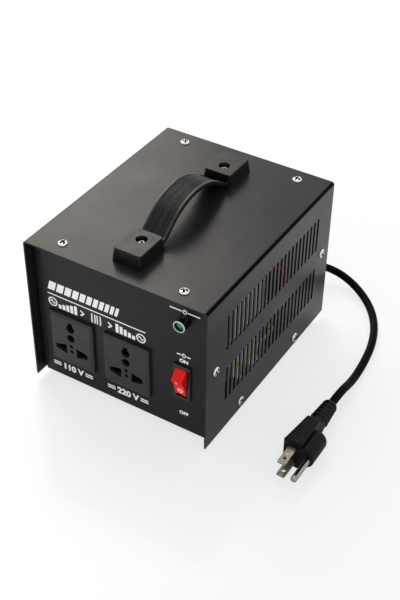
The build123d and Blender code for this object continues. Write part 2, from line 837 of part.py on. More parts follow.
def fuse_holder_nut():
    nut = hexagon(fuse_nut_af, fuse_nut_h, fuse_barrel_d + seat_gap)
    return Pos(fuse_x, panel_y - sheet_t, fuse_z) * Rot(90, 0, 0) * nut


def fuse_holder_tabs():
    """Two tabs out of the barrel's end, one above the other."""
    back = panel_y - fuse_barrel_l
    half = tab_w / 2
    return as_group([block(fuse_x - half, fuse_x + half, back - tab_l, back,
                           fuse_z + side * fuse_barrel_d / 4 - tab_t / 2,
                           fuse_z + side * fuse_barrel_d / 4 + tab_t / 2) for side in (-1, 1)])


def fuse_cap():
    """Fluted bayonet cap with a coin slot; its hollow stem carries the end of the fuse."""
    inner = panel_y + fuse_flange_t + moving_gap
    outer = panel_y + panel_fitting_reach
    head = disc_y(fuse_cap_d, inner, outer, fuse_x, fuse_z)
    head = chamfer(head.faces().sort_by(Axis.Y)[-1].edges(), fuse_cap_slot_depth / 3)
    for n in range(fuse_cap_flutes):
        turn = 2 * math.pi * n / fuse_cap_flutes
        x = fuse_x + fuse_cap_d / 2 * math.cos(turn)
        z = fuse_z + fuse_cap_d / 2 * math.sin(turn)
        head -= disc_y(fuse_cap_flute_d, inner + fuse_flange_t / 2, outer + overrun, x, z)
    head -= block(fuse_x - fuse_cap_d, fuse_x + fuse_cap_d, outer - fuse_cap_slot_depth,
                  outer + overrun, fuse_z - fuse_cap_slot_w / 2, fuse_z + fuse_cap_slot_w / 2)
    stem_end = panel_y + fuse_flange_t - fuse_cap_stem_l
    head += disc_y(fuse_cap_stem_d, stem_end, inner, fuse_x, fuse_z)
    pocket = fuse_d + 2 * moving_gap
    return head - disc_y(pocket, stem_end - overrun, stem_end + fuse_grip_l + moving_gap,
                         fuse_x, fuse_z)


def fuse_glass():
    y0 = fuse_seat_y() + fuse_ferrule_t
    y1 = fuse_seat_y() + fuse_l - fuse_ferrule_t
    bore = fuse_glass_d - 2 * fuse_glass_wall
    return disc_y(fuse_glass_d, y0, y1, fuse_x, fuse_z) - disc_y(bore, y0, y1, fuse_x, fuse_z)


def fuse_ferrules():
    """Metal cups over both ends of the glass tube."""
    start = fuse_seat_y()
    end = start + fuse_l
    cups = (disc_y(fuse_d, start, start + fuse_ferrule_l, fuse_x, fuse_z)
            + disc_y(fuse_d, end - fuse_ferrule_l, end, fuse_x, fuse_z))
    cups -= disc_y(fuse_glass_d, start + fuse_ferrule_t, end - fuse_ferrule_t, fuse_x, fuse_z)
    return as_group([cups])


def selector_screw_xs():
    return [selector_x - selector_screw_pitch / 2, selector_x + selector_screw_pitch / 2]


def selector_body():
    """Flanged slide-switch body behind its window in the rear panel."""
    y1 = panel_y - sheet_t
    y0 = y1 - selector_flange_t
    half_w, half_h = selector_flange_w / 2, selector_flange_h / 2
    body = block(selector_x - half_w, selector_x + half_w, y0, y1, selector_z - half_h,
                 selector_z + half_h)
    half_w, half_h = selector_body_w / 2, selector_body_h / 2
    body += block(selector_x - half_w, selector_x + half_w, y1 - selector_body_t, y0,
                  selector_z - half_h, selector_z + half_h)
    half_w = selector_slider_w / 2 + selector_travel / 2 + moving_gap
    half_h = selector_window_h / 2
    body -= block(selector_x - half_w, selector_x + half_w, y1 - selector_slider_l - moving_gap,
                  y1 + overrun, selector_z - half_h, selector_z + half_h)
    for x in selector_screw_xs():
        body -= disc_y(selector_screw_d + 2 * seat_gap, y0 - overrun, y1 + overrun, x, selector_z)
    return body


def selector_slider():
    """Slider with a groove for a screwdriver, at rest at the left end of its window."""
    x = selector_x - selector_travel / 2
    y0 = panel_y - sheet_t - selector_slider_l
    y1 = panel_y + selector_slider_reach - sheet_t
    half_w = selector_slider_w / 2
    half_h = selector_window_h / 2 - moving_gap
    slider = block(x - half_w, x + half_w, y0, y1, selector_z - half_h, selector_z + half_h)
    groove = selector_groove_w / 2
    return slider - block(x - groove, x + groove, y1 - selector_groove_depth, y1 + overrun,
                          selector_z - half_h, selector_z + half_h)


def selector_screws():
    screw = pan_screw(selector_screw_d, selector_screw_l, selector_screw_head_d,
                      selector_screw_head_h)
    return as_group([Pos(x, panel_y, selector_z) * Rot(-90, 0, 0) * screw
                     for x in selector_screw_xs()])


def selector_tabs():
    """Solder tabs behind the selector."""
    y = panel_y - sheet_t - selector_body_t
    half = tab_w / 2
    return as_group([block(selector_x + n * selector_body_w / 3 - half,
                           selector_x + n * selector_body_w / 3 + half, y - tab_l / 2, y,
                           selector_z - tab_t / 2, selector_z + tab_t / 2) for n in (-1, 0, 1)])


def cord_gland():
    """Bushing that grips the lead: flange outside, ringed tail, and a neck through the panel."""
    flange = Pos(gland_x, panel_y + gland_flange_t, gland_z) * rounded_plate(
        gland_flange_w, gland_flange_h, gland_flange_t, gland_flange_r)
    tail_y = panel_y + gland_flange_t
    end_y = tail_y + gland_tail_l
    tail = Pos(gland_x, (tail_y + end_y) / 2, gland_z) * Rot(-90, 0, 0) * Cone(
        gland_tail_d / 2, gland_tail_end_d / 2, gland_tail_l)
    for n in (1, 2):
        y = tail_y + gland_tail_l * n / 3
        share = (y - tail_y) / gland_tail_l
        d = gland_tail_d + (gland_tail_end_d - gland_tail_d) * share
        ring = disc_y(2 * d, y - gland_groove_w / 2, y + gland_groove_w / 2, gland_x, gland_z)
        tail -= ring - disc_y(d - 2 * gland_groove_depth, y - gland_groove_w, y + gland_groove_w,
                              gland_x, gland_z)
    neck = disc_y(gland_neck_d, panel_y - sheet_t - gland_inner_l, panel_y, gland_x, gland_z)
    return flange + tail + neck


def tube_radii(points):
    """The radius of each turn: 0.45 of the shorter run, over the tangent of half the turn."""
    radii = []
    for before, here, after in zip(points, points[1:], points[2:]):
        first, second = here - before, after - here
        half_turn = math.radians(first.get_angle(second)) / 2
        radii.append(0.45 * min(first.length, second.length) / math.tan(half_turn))
    return radii


def power_cord():
    """The lead's free stretch, from the tail of its bushing to the plug."""
    points = [Vector(gland_x + x, cord_start_y + y, z) for x, y, z in cord_route]
    radii = tube_radii(points)
    path = FilletPolyline(*points, radius=radii)
    tube = sweep(Plane(origin=path @ 0, z_dir=path % 0) * Circle(cord_d / 2), path)
    print("cord radii", [round(r, 1) for r in radii])
    print("cord length", round(path.length, 1), "volume", round(tube.volume, 1),
          "section times length", round(math.pi * cord_d * cord_d / 4 * path.length, 1))
    return tube


def plug_body():
    """Moulded plug on its side: flat grip, round lobe for the earth pin, ribbed tail."""
    face_y = plug_end_y - plug_l
    grip_y = face_y + plug_grip_l
    left, right = plug_x - plug_left, plug_x + plug_right
    outline = Polyline((left, face_y), (right, face_y), (right, grip_y),
                       (left + plug_waist, grip_y), close=True)
    grip = extrude(make_face(outline), 2 * plug_half)
    grip = fillet(grip.edges().filter_by(Axis.Y), plug_edge_r)
    tip_r = lobe_r * lobe_tip_share
    lobe = disc_y(2 * lobe_r, face_y, face_y + lobe_l - tip_r, plug_x + lobe_x, plug_half)
    lobe += Pos(plug_x + lobe_x, face_y + lobe_l - tip_r / 2, plug_half) * Rot(-90, 0, 0) * Cone(
        lobe_r, tip_r, tip_r)
    back = Plane(origin=(0, grip_y, 0), x_dir=(1, 0, 0), z_dir=(0, 1, 0))
    wide = right - left - plug_waist
    base = back * Pos((right + left + plug_waist) / 2, -plug_half) * RectangleRounded(
        wide, 2 * plug_half - 2 * plug_edge_r, plug_edge_r)
    end = back.offset(plug_neck_l) * Pos(plug_x, -plug_half) * RectangleRounded(
        plug_neck_d, plug_neck_d, plug_neck_d * plug_neck_corner_share)
    neck = loft([base, end])
    return grip + lobe + neck + plug_tail(grip_y + plug_neck_l)


def plug_tail(start_y):
    """Tapered tail that keeps the lead from kinking, with rings round its thin end."""
    length = plug_end_y - start_y
    tail = Pos(plug_x, start_y + length / 2, plug_half) * Rot(-90, 0, 0) * Cone(
        plug_neck_d / 2, plug_tail_d / 2, length)
    for n in range(plug_rib_count):
        y = plug_end_y - plug_rib_end - n * plug_rib_pitch
        share = (y - start_y) / length
        d = plug_neck_d + (plug_tail_d - plug_neck_d) * share + plug_rib_out
        tail += disc_y(d, y - plug_rib_w / 2, y + plug_rib_w / 2, plug_x, plug_half)
    return tail


def plug_blades():
    """Two flat blades, one above the other, rooted in the plug's face."""
    face_y = plug_end_y - plug_l
    x = plug_x + blade_shift_x
    solids = []
    for side in (-1, 1):
        z = plug_half + side * blade_pitch / 2
        blade = block(x - blade_w / 2, x + blade_w / 2, face_y - blade_l, face_y,
                      z - blade_t / 2, z + blade_t / 2)
        corners = blade.faces().sort_by(Axis.Y)[0].edges().filter_by(Axis.Z)
        blade = chamfer(corners, blade_t)
        y = face_y - blade_hole_y
        solids.append(blade - disc_z(blade_hole_d, z - blade_t, z + blade_t, x, y))
    return as_group(solids)


def plug_ground_pin():
    """Round earth pin with a domed end."""
    face_y = plug_end_y - plug_l
    x = plug_x + blade_shift_x + ground_pin_x
    pin = disc_y(ground_pin_d, face_y - ground_pin_l, face_y, x, plug_half)
    return fillet(pin.faces().sort_by(Axis.Y)[0].edges(), ground_pin_d * ground_pin_tip_share)


def transformer_core():
    """Stack of E and I laminations with two windows for the coil."""
    half = core_t / 2
    core = block(-core_w / 2, core_w / 2, core_y - half, core_y + half, core_z - core_h / 2,
                 core_z + core_h / 2)
    for side in (-1, 1):
        x = side * (limb_w + window_w) / 2
        core -= Pos(x, core_y, core_z) * Box(window_w, core_t + overrun, window_h)
    return core


def coil_bobbin():
    """Nylon former round the middle limb: a tube with a flange at each end."""
    tube_w = limb_w + 2 * bobbin_gap + 2 * bobbin_wall
    tube_d = core_t + 2 * bobbin_gap + 2 * bobbin_wall
    height = window_h - 2 * bobbin_gap
    wide = limb_w + 2 * window_w - 2 * bobbin_gap
    deep = core_t + 2 * coil_out
    bobbin = Box(tube_w, tube_d, height)
    for side in (-1, 1):
        flange = Box(wide, deep, bobbin_flange_t)
        flange = fillet(flange.edges().filter_by(Axis.Z), coil_corner_r)
        bobbin += Pos(0, 0, side * (height - bobbin_flange_t) / 2) * flange
    bobbin -= Box(limb_w + 2 * bobbin_gap, core_t + 2 * bobbin_gap, window_h)
    return Pos(0, core_y, core_z) * bobbin


def coil_winding():
    """The taped winding between the former's flanges."""
    wide = limb_w + 2 * window_w - 4 * bobbin_gap
    deep = core_t + 2 * coil_out - 2 * bobbin_wall
    height = window_h - 2 * bobbin_gap - 2 * bobbin_flange_t
    pack = Box(wide, deep, height)
    pack = fillet(pack.edges().filter_by(Axis.Z), coil_corner_r)
    tube_w = limb_w + 2 * bobbin_gap + 2 * bobbin_wall
    tube_d = core_t + 2 * bobbin_gap + 2 * bobbin_wall
    return Pos(0, core_y, core_z) * (pack - Box(tube_w, tube_d, window_h))


def bracket_bolt_places():
    reach = core_w / 2 + bracket_t + bracket_foot_w / 2
    return [(x, core_y + y) for x in (-reach, reach) for y in (-bracket_bolt_y, bracket_bolt_y)]


def transformer_bracket():
    """Channel of plated steel over the core, with a foot along each side."""
    side_x = core_w / 2 + bracket_t
    roof_z = core_z + core_h / 2 + bracket_t
    outer = Pos(0, (floor_z + roof_z) / 2) * Rectangle(2 * side_x, roof_z - floor_z)
    outer = fillet(outer.vertices().group_by(Axis.Y)[-1], bracket_bend_r)
    inner = Pos(0, (floor_z + roof_z) / 2 - bracket_t) * Rectangle(core_w, roof_z - floor_z)
    profile = outer - inner
    for side in (-1, 1):
        x = side * (side_x + bracket_foot_w / 2)
        profile += Pos(x, floor_z + bracket_t / 2) * Rectangle(bracket_foot_w, bracket_t)
    bracket = Pos(0, core_y, 0) * extrude(Plane.XZ * profile, bracket_l / 2, both=True)
    for x, y in bracket_bolt_places():
        bracket -= disc_z(bracket_bolt_d + 2 * seat_gap, floor_z - overrun,
                          floor_z + bracket_t + overrun, x, y)
    return bracket


def bracket_bolts():
    """Screws up through the base that hold the transformer down."""
    length = sheet_t + bracket_t + washer_t + nut_m5_h + washer_t
    bolt = pan_screw(bracket_bolt_d, length, bracket_bolt_head_d, bracket_bolt_head_h)
    return as_group([Pos(x, y, base_z) * Rot(180, 0, 0) * bolt for x, y in bracket_bolt_places()])


def bracket_nuts():
    hole = bracket_bolt_d + seat_gap
    foot_z = floor_z + bracket_t
    washer = disc_z(washer_d, 0, washer_t) - disc_z(hole, -overrun, overrun)
    nut = hexagon(nut_m5_af, nut_m5_h, hole)
    solids = []
    for x, y in bracket_bolt_places():
        solids.append(Pos(x, y, foot_z) * washer)
        solids.append(Pos(x, y, foot_z + washer_t) * nut)
    return as_group(solids)


def thermal_cutout():
    """Small thermal cut-out laid against the front of the winding."""
    y = core_y - core_t / 2 - coil_out + bobbin_wall
    cutout = block(-cutout_w / 2, cutout_w / 2, y - cutout_t, y, core_z - cutout_h / 2,
                   core_z + cutout_h / 2)
    return fillet(cutout.edges().filter_by(Axis.X), cutout_h / 6)


def terminal_xs():
    pitch = terminal_w / terminal_ways
    return [terminal_x + (n - (terminal_ways - 1) / 2) * pitch for n in range(terminal_ways)]


def terminal_block():
    """Nylon terminal block on the base, with a screw well in each way and slits between."""
    half_d = terminal_d / 2
    body = block(terminal_x - terminal_w / 2, terminal_x + terminal_w / 2, terminal_y - half_d,
                 terminal_y + half_d, floor_z, floor_z + terminal_h)
    top = floor_z + terminal_h
    for x in terminal_xs():
        body -= disc_z(terminal_well_d, top - terminal_screw_h * 1.6, top + overrun, x, terminal_y)
    for x in terminal_xs()[1:]:
        gap_x = x - terminal_w / terminal_ways / 2
        body -= block(gap_x - seam_gap / 2, gap_x + seam_gap / 2, -cover_d, cover_d,
                      top - terminal_h / 3, top + overrun)
    return body


def terminal_screws():
    seat = floor_z + terminal_h - terminal_screw_h * 1.6
    screw = disc_z(terminal_screw_d, seat, seat + terminal_screw_h)
    slot = block(-terminal_screw_d, terminal_screw_d, -cross_w / 2, cross_w / 2,
                 seat + terminal_screw_h - cross_w, seat + terminal_screw_h + overrun)
    return as_group([Pos(x, terminal_y, 0) * (screw - slot) for x in terminal_xs()])


def wire(points):
    """An insulated wire on a route of straight runs with tangent turns."""
    points = [Vector(*p) for p in points]
    radii = [min(wire_turn_r, r) for r in tube_radii(points)]
    path = FilletPolyline(*points, radius=radii)
    return sweep(Plane(origin=path @ 0, z_dir=path % 0) * Circle(wire_d / 2), path)


def outlet_tab(side, cell):
    """The free end of one outlet's tab."""
    cell_x, cell_z = outlet_cells()[cell]
    y = -panel_y + outlet_body_t + tab_l
    return outlet_xs[side] + cell_x, y, base_z + outlet_z + cell_z


def terminal_entry(way):
    """Where a wire meets the front of one way of the terminal block."""
    return terminal_xs()[way], terminal_y - terminal_d / 2, floor_z + terminal_wire_z


def side_lane():
    """The lane between the transformer's bracket and a side of the box."""
    return core_w / 2 + bracket_t + 2 * wire_d


def front_lane():
    """The lane in front of the winding."""
    return core_y - core_t / 2 - coil_out - 2 * wire_d


def lead_cores():
    """Where the lead's three cores leave its bushing: live on top, earth and neutral below."""
    y = panel_y - sheet_t - gland_inner_l
    low = gland_z - lead_core_spread / 2
    return {"live": (gland_x, y, gland_z + lead_core_spread),
            "earth": (gland_x - lead_core_spread, y, low),
            "neutral": (gland_x + lead_core_spread, y, low)}


def wires_yellow():
    """From the right outlet, down past the transformer's right side, to the terminal block."""
    x0, y0, z0 = outlet_tab("right", 1)
    x1, y1, z1 = terminal_entry(3)
    lane = side_lane()
    low = floor_z + bracket_t + nut_m5_h + washer_t + 2 * wire_d
    return wire([(x0, y0, z0), (x0, front_lane(), z0), (lane, front_lane() + wire_turn_r, z0),
                 (lane, core_y - core_t / 4, low), (lane, y1 - 2 * wire_turn_r, low),
                 (x1, y1 - wire_turn_r, z1), (x1, y1, z1)])


def wires_red():
    """From the winding's rear, down the right side, to the terminal block."""
    x1, y1, z1 = terminal_entry(2)
    back = core_y + core_t / 2 + coil_out - bobbin_wall
    high = core_z + window_h / 4
    return wire([(limb_w / 2, back, high), (limb_w / 2, back + wire_turn_r, high),
                 (side_lane(), back + wire_turn_r, high),
                 (side_lane(), back - wire_d, z1 + 3 * wire_turn_r),
                 (x1, y1 - 3 * wire_d, z1), (x1, y1, z1)])


def wires_black():
    """From the lead to the fuse holder, and from the fuse holder round to the switch."""
    x0, y0, z0 = lead_cores()["live"]
    back = core_y + core_t / 2 + coil_out + bobbin_wall
    tab_y = panel_y - fuse_barrel_l - tab_l
    tab_z = fuse_z + fuse_barrel_d / 4 + tab_t / 2
    supply = wire([(x0, y0, z0), (x0, y0 - wire_turn_r, z0),
                   (fuse_x / 2, back + 2 * wire_turn_r, fuse_z + wire_turn_r),
                   (fuse_x, tab_y + tab_l / 2, tab_z + 2 * wire_turn_r),
                   (fuse_x, tab_y + tab_l / 2, tab_z)])
    low_z = fuse_z - fuse_barrel_d / 4
    lane_z = core_z - window_h / 2
    switch_y = -panel_y + switch_body_t + tab_l / 2
    tab_under = base_z + switch_z - switch_tab_pitch - tab_t / 2
    feed = wire([(fuse_x, tab_y, low_z), (fuse_x, tab_y - wire_turn_r, low_z),
                 (-side_lane(), core_y + core_t / 2, low_z - wire_turn_r),
                 (-side_lane(), front_lane(), lane_z),
                 (switch_x - 2 * wire_turn_r, front_lane() - wire_d, lane_z),
                 (switch_x, switch_y, lane_z + wire_d), (switch_x, switch_y, tab_under)])
    return as_group([supply, feed])


def wires_white():
    """Neutral wire from the lead to the rear of the terminal block."""
    x0, y0, z0 = lead_cores()["neutral"]
    x1, y1, z1 = terminal_entry(2)
    y1 += terminal_d
    run = (y0 - y1) / 3
    return wire([(x0, y0, z0), (x0, y0 - run, z0), (x1, y1 + run, z1), (x1, y1, z1)])


def ring_z():
    """The middle of the earth wire's barrel."""
    return floor_z + stud_washer_t + ring_barrel_d / 2


def wires_green():
    """Earth wire from the lead to the ring terminal on its stud."""
    x0, y0, z0 = lead_cores()["earth"]
    x1 = stud_x + stud_washer_d / 2 + ring_barrel_l
    return wire([(x0, y0, z0), (x0, y0 - wire_turn_r, z0), (x1 + wire_turn_r, stud_y, ring_z()),
                 (x1, stud_y, ring_z())])


def earth_stud():
    """Screw up through the base with a washer, a ring terminal and a nut."""
    screw = pan_screw(stud_d, stud_l, stud_head_d, stud_head_h)
    hole = disc_z(stud_d + seat_gap, -overrun, stud_l)
    washer = disc_z(stud_washer_d, 0, stud_washer_t) - hole
    barrel_end = stud_washer_d / 2 + ring_barrel_l
    ring = washer + disc_x(ring_barrel_d, stud_washer_d / 2 - stud_washer_t / 4, barrel_end, 0,
                           ring_barrel_d / 2)
    nut = hexagon(nut_m4_af, nut_m4_h, stud_d + seat_gap)
    stack = [Pos(0, 0, floor_z) * washer, Pos(0, 0, floor_z + stud_washer_t) * ring,
             Pos(0, 0, floor_z + 2 * stud_washer_t) * nut,
             Pos(0, 0, base_z) * Rot(180, 0, 0) * screw]
    return as_group([Pos(stud_x, stud_y, 0) * item for item in stack])


def rubber_foot():
    """Tapered rubber foot with a well for its screw."""
    cone = Pos(0, 0, foot_h / 2) * Cone(foot_d / 2, foot_top_d / 2, foot_h)
    cone -= disc_z(foot_well_d, -overrun, foot_h - foot_floor_t)
    return cone - disc_z(foot_screw_d + 2 * seat_gap, -overrun, foot_h + overrun)


def foot_places():
    x = inner_x - foot_inset
    y = panel_y - foot_inset
    return [(sx * x, sy * y) for sx in (-1, 1) for sy in (-1, 1)]


def rubber_feet():
    return as_group([Pos(x, y, 0) * rubber_foot() for x, y in foot_places()])


def feet_screws():
    screw = pan_screw(foot_screw_d, foot_screw_l, foot_screw_head_d, foot_screw_head_h)
    seat = foot_h - foot_floor_t
    return as_group([Pos(x, y, seat) * Rot(180, 0, 0) * screw for x, y in foot_places()])


nodes = {
    "cover": box_cover,
    "chassis": chassis,
    "cover_top_screws": cover_top_screws,
    "cover_side_screws": cover_side_screws,
    "handle_strap": handle_strap,
    "handle_cap_front": lambda: handle_cap(-1),
    "handle_cap_rear": lambda: handle_cap(1),
    "handle_screws": handle_screws,
    "handle_nuts": handle_nuts,
    "outlet_screws": outlet_screws,
    "lamp_housing": lamp_housing,
    "lamp_rim": lamp_rim,
    "lamp_lens": lamp_lens,
    "lamp_nut": lamp_nut,
    "lamp_pins": lamp_pins,
    "switch_frame": switch_frame,
    "switch_rocker": switch_rocker,
    "switch_tabs": switch_tabs,
    "fuse_holder": fuse_holder,
    "fuse_holder_nut": fuse_holder_nut,
    "fuse_holder_tabs": fuse_holder_tabs,
    "fuse_cap": fuse_cap,
    "fuse_glass": fuse_glass,
    "fuse_ferrules": fuse_ferrules,
    "selector_body": selector_body,
    "selector_slider": selector_slider,
    "selector_screws": selector_screws,
    "selector_tabs": selector_tabs,
    "cord_gland": cord_gland,
    "power_cord": power_cord,
    "plug_body": plug_body,
    "plug_blades": plug_blades,
    "plug_ground_pin": plug_ground_pin,
    "transformer_core": transformer_core,
    "transformer_bracket": transformer_bracket,
    "bracket_bolts": bracket_bolts,
    "bracket_nuts": bracket_nuts,
    "coil_bobbin": coil_bobbin,
    "coil_winding": coil_winding,
    "thermal_cutout": thermal_cutout,
    "terminal_block": terminal_block,
    "terminal_screws": terminal_screws,
    "wires_black": wires_black,
    "wires_white": wires_white,
    "wires_green": wires_green,
    "wires_red": wires_red,
    "wires_yellow": wires_yellow,
    "earth_stud": earth_stud,
    "rubber_feet": rubber_feet,
    "feet_screws": feet_screws,
}
for side, x in outlet_xs.items():
    nodes[f"outlet_face_{side}"] = lambda x=x: outlet_face(x)
    nodes[f"outlet_body_{side}"] = lambda x=x: outlet_body(x)
    nodes[f"outlet_contacts_{side}"] = lambda x=x: outlet_contacts(x)

os.makedirs("parts", exist_ok=True)
for name, make in nodes.items():
    export_step(make(), f"parts/{name}.step")
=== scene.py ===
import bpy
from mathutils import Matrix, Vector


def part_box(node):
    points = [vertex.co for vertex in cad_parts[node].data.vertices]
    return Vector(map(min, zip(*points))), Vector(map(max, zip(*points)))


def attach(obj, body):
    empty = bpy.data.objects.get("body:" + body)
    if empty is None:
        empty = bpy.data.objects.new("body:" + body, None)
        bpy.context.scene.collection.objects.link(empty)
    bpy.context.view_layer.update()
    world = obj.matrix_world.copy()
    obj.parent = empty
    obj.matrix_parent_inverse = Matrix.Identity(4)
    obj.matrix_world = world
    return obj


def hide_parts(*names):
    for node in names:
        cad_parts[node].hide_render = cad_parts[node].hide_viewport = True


bl_info = {
    "name": "Travel Voltage Converter",
    "version": (1, 0, 0),
    "blender": (4, 5, 0),
    "location": "View3D > Sidebar > Converter",
    "description": "Dresses the packed converter: enamel, mouldings, strap, lead, print and stage",
    "category": "Object",
}

import math

import bmesh
import bpy
from bpy.props import FloatProperty, FloatVectorProperty, PointerProperty
from mathutils import Matrix, Vector

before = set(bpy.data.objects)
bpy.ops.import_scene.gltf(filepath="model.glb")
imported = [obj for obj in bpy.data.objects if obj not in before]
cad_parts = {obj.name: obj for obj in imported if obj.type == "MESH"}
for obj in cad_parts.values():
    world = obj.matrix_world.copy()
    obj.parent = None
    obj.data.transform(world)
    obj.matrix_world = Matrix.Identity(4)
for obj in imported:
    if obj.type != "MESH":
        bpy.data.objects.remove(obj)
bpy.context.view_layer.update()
MM = 0.001
SAME_PLACE = 0.000001   # vertices nearer than this are one, in metres
INK_FILM = 0.00006      # thickness of the printed marks, in metres


def linear(hex_colour):
    """A linear RGBA colour from an sRGB hex value."""
    parts = [int(hex_colour[i:i + 2], 16) / 255 for i in (1, 3, 5)]
    return tuple(c / 12.92 if c <= 0.04045 else ((c + 0.055) / 1.055) ** 2.4
                 for c in parts) + (1.0,)


def colour(name, description, hex_colour):
    return FloatVectorProperty(name=name, description=description, subtype="COLOR", size=4,
                               min=0, max=1, default=linear(hex_colour))


def length(name, description, millimetres):
    return FloatProperty(name=name, description=description, unit="LENGTH", precision=5,
                         default=millimetres * MM)


# ------------------------------------------------------------------ settings
class StageSettings(bpy.types.PropertyGroup):
    floor: colour("Floor", "Colour of the studio floor", "#f6f6f5")
    backdrop: colour("Backdrop", "Colour seen behind and reflected", "#ffffff")
    fill: FloatProperty(name="Fill", description="Light from all round", default=0.8, min=0)
    key: FloatProperty(name="Key", description="Power of the big lamp", subtype="POWER",
                       default=23.0, min=0)
    veil: FloatProperty(name="Veil", description="Share of the floor that shows as plain white",
                        default=0.7, min=0, max=1)
    mirrored_veil: FloatProperty(name="Mirrored veil", description="The same in reflections",
                                 default=0.05, min=0, max=1)


class CaseSettings(bpy.types.PropertyGroup):
    enamel: colour("Enamel", "Baked enamel on the folded case", "#1c1c1e")
    ink: colour("Ink", "Screen-printed marks on the front", "#fbfbf8")
    peel: length("Orange peel", "Width of the dimples in the baked enamel", 1.6)


class StrapSettings(bpy.types.PropertyGroup):
    vinyl: colour("Vinyl", "Colour of the strap", "#131314")
    cap: colour("Caps", "Colour of the strap's end caps", "#0c0a0a")
    width: length("Width", "Width of the strap", 20.5)
    thickness: length("Thickness", "Thickness of the strap between its beads", 3.0)
    bead: length("Bead", "Height of the bead along each edge", 0.5)
    groove_pitch: length("Groove pitch", "Distance between the lengthwise grooves", 1.45)
    groove_depth: length("Groove depth", "Depth of the lengthwise grooves", 0.55)


class LeadSettings(bpy.types.PropertyGroup):
    jacket: colour("Jacket", "Vinyl jacket of the lead and plug", "#070707")
    diameter: length("Diameter", "Diameter of the lead", 6.4)


class FittingSettings(bpy.types.PropertyGroup):
    outlet: colour("Outlets", "Moulded outlet frames", "#1f1f20")
    gloss: colour("Gloss black", "Switch bezel, lamp tube and fuse holder", "#101011")
    rocker: colour("Rocker", "Translucent red rocker", "#ff1c12")
    lens: colour("Lens", "Green lamp lens", "#1fb86c")


# ------------------------------------------------------------------ materials
def add_node(tree, kind, settings=None, **links):
    """Adds a node, sets its inputs or attributes by name, and links sockets into it."""
    node = tree.nodes.new(kind)
    for key, value in (settings or {}).items():
        if key in node.inputs:
            node.inputs[key].default_value = value
        else:
            setattr(node, key, value)
    for key, socket in links.items():
        tree.links.new(socket, node.inputs[key.replace("_", " ")])
    return node


def finish_material(name, base, roughness=0.5, metallic=0.0, **sockets):
    """A Principled material. Returns it with its tree, its shader and object coordinates."""
    made = bpy.data.materials.new(name)
    made.use_nodes = True
    tree = made.node_tree
    shader = tree.nodes["Principled BSDF"]
    shader.inputs["Base Color"].default_value = base
    shader.inputs["Roughness"].default_value = roughness
    shader.inputs["Metallic"].default_value = metallic
    for key, value in sockets.items():
        shader.inputs[key.replace("_", " ")].default_value = value
    where = add_node(tree, "ShaderNodeTexCoord").outputs["Object"]
    return made, tree, shader, where


def grain(tree, shader, where, size, depth, detail=2.0, stretch=(1, 1, 1)):
    """Fine relief: noise whose lumps are `size` across and `depth` high, in metres."""
    mapped = add_node(tree, "ShaderNodeMapping", {"Scale": stretch}, Vector=where)
    noise = add_node(tree, "ShaderNodeTexNoise", {"Scale": 1 / size, "Detail": detail},
                     Vector=mapped.outputs["Vector"])
    bump = add_node(tree, "ShaderNodeBump", {"Strength": 1.0, "Distance": depth},
                    Height=noise.outputs["Fac"])
    tree.links.new(bump.outputs["Normal"], shader.inputs["Normal"])


def patchy(tree, shader, where, socket, low, high, size):
    """Lets a colour or a roughness drift between two values over patches of `size`."""
    noise = add_node(tree, "ShaderNodeTexNoise", {"Scale": 1 / size, "Detail": 3.0}, Vector=where)
    if socket == "Base Color":
        ramp = add_node(tree, "ShaderNodeValToRGB", Fac=noise.outputs["Fac"])
        ramp.color_ramp.elements[0].position = 0.35
        ramp.color_ramp.elements[1].position = 0.65
        ramp.color_ramp.elements[0].color = low
        ramp.color_ramp.elements[1].color = high
        tree.links.new(ramp.outputs["Color"], shader.inputs[socket])
    else:
        ramp = add_node(tree, "ShaderNodeMapRange",
                        {"From Min": 0.3, "From Max": 0.7, "To Min": low, "To Max": high},
                        Value=noise.outputs["Fac"])
        tree.links.new(ramp.outputs["Result"], shader.inputs[socket])


def shade(colour_value, factor):
    """The same colour, lighter or darker."""
    return tuple(min(1.0, c * factor) for c in colour_value[:3]) + (1.0,)


def enamel(name, base, peel, roughness, specular):
    # Baked enamel sprayed on steel: satin, with the faint orange peel that spraying leaves,
    # and a sheen that drifts a little where the film is thicker.
    made, tree, shader, where = finish_material(name, base, roughness, IOR=1.47,
                                                Specular_IOR_Level=specular)
    grain(tree, shader, where, peel, 0.000003)
    patchy(tree, shader, where, "Roughness", roughness - 0.03, roughness + 0.04, 0.03)
    patchy(tree, shader, where, "Base Color", shade(base, 0.92), shade(base, 1.1), 0.012)
    return made


def painted_shade_on_bends(made, specular):
    """Paints shade into an enamel where the sheet turns from the top to a side: black mixed into
    its colour and its gloss turned down there.

    The photograph shows that bend as a dark line, and these lamps alone leave it grey.
    """
    tree = made.node_tree
    shader = tree.nodes["Principled BSDF"]
    normal = add_node(tree, "ShaderNodeNewGeometry").outputs["Normal"]
    parts = add_node(tree, "ShaderNodeSeparateXYZ", Vector=normal)
    level = add_node(tree, "ShaderNodeMath", {"operation": "ABSOLUTE"})
    tree.links.new(parts.outputs["X"], level.inputs[0])
    both = add_node(tree, "ShaderNodeMath", {"operation": "MULTIPLY"})
    tree.links.new(level.outputs[0], both.inputs[0])
    tree.links.new(parts.outputs["Z"], both.inputs[1])
    gloss, share = (
        add_node(tree, "ShaderNodeMapRange",
                 {"From Min": 0.1, "From Max": 0.4, "To Min": flat, "To Max": bent},
                 Value=both.outputs[0]).outputs["Result"]
        for flat, bent in ((specular, 0.02), (0.0, 0.9)))
    tree.links.new(gloss, shader.inputs["Specular IOR Level"])
    # Black blended into the enamel's colour at the bends is painted shade.
    painted = shader.inputs["Base Color"].links[0].from_socket
    blend = add_node(tree, "ShaderNodeMix", {"data_type": "RGBA"})
    tree.links.new(share, blend.inputs[0])
    tree.links.new(painted, blend.inputs[6])
    blend.inputs[7].default_value = (0.0, 0.0, 0.0, 1.0)
    tree.links.new(blend.outputs[2], shader.inputs["Base Color"])
    return made


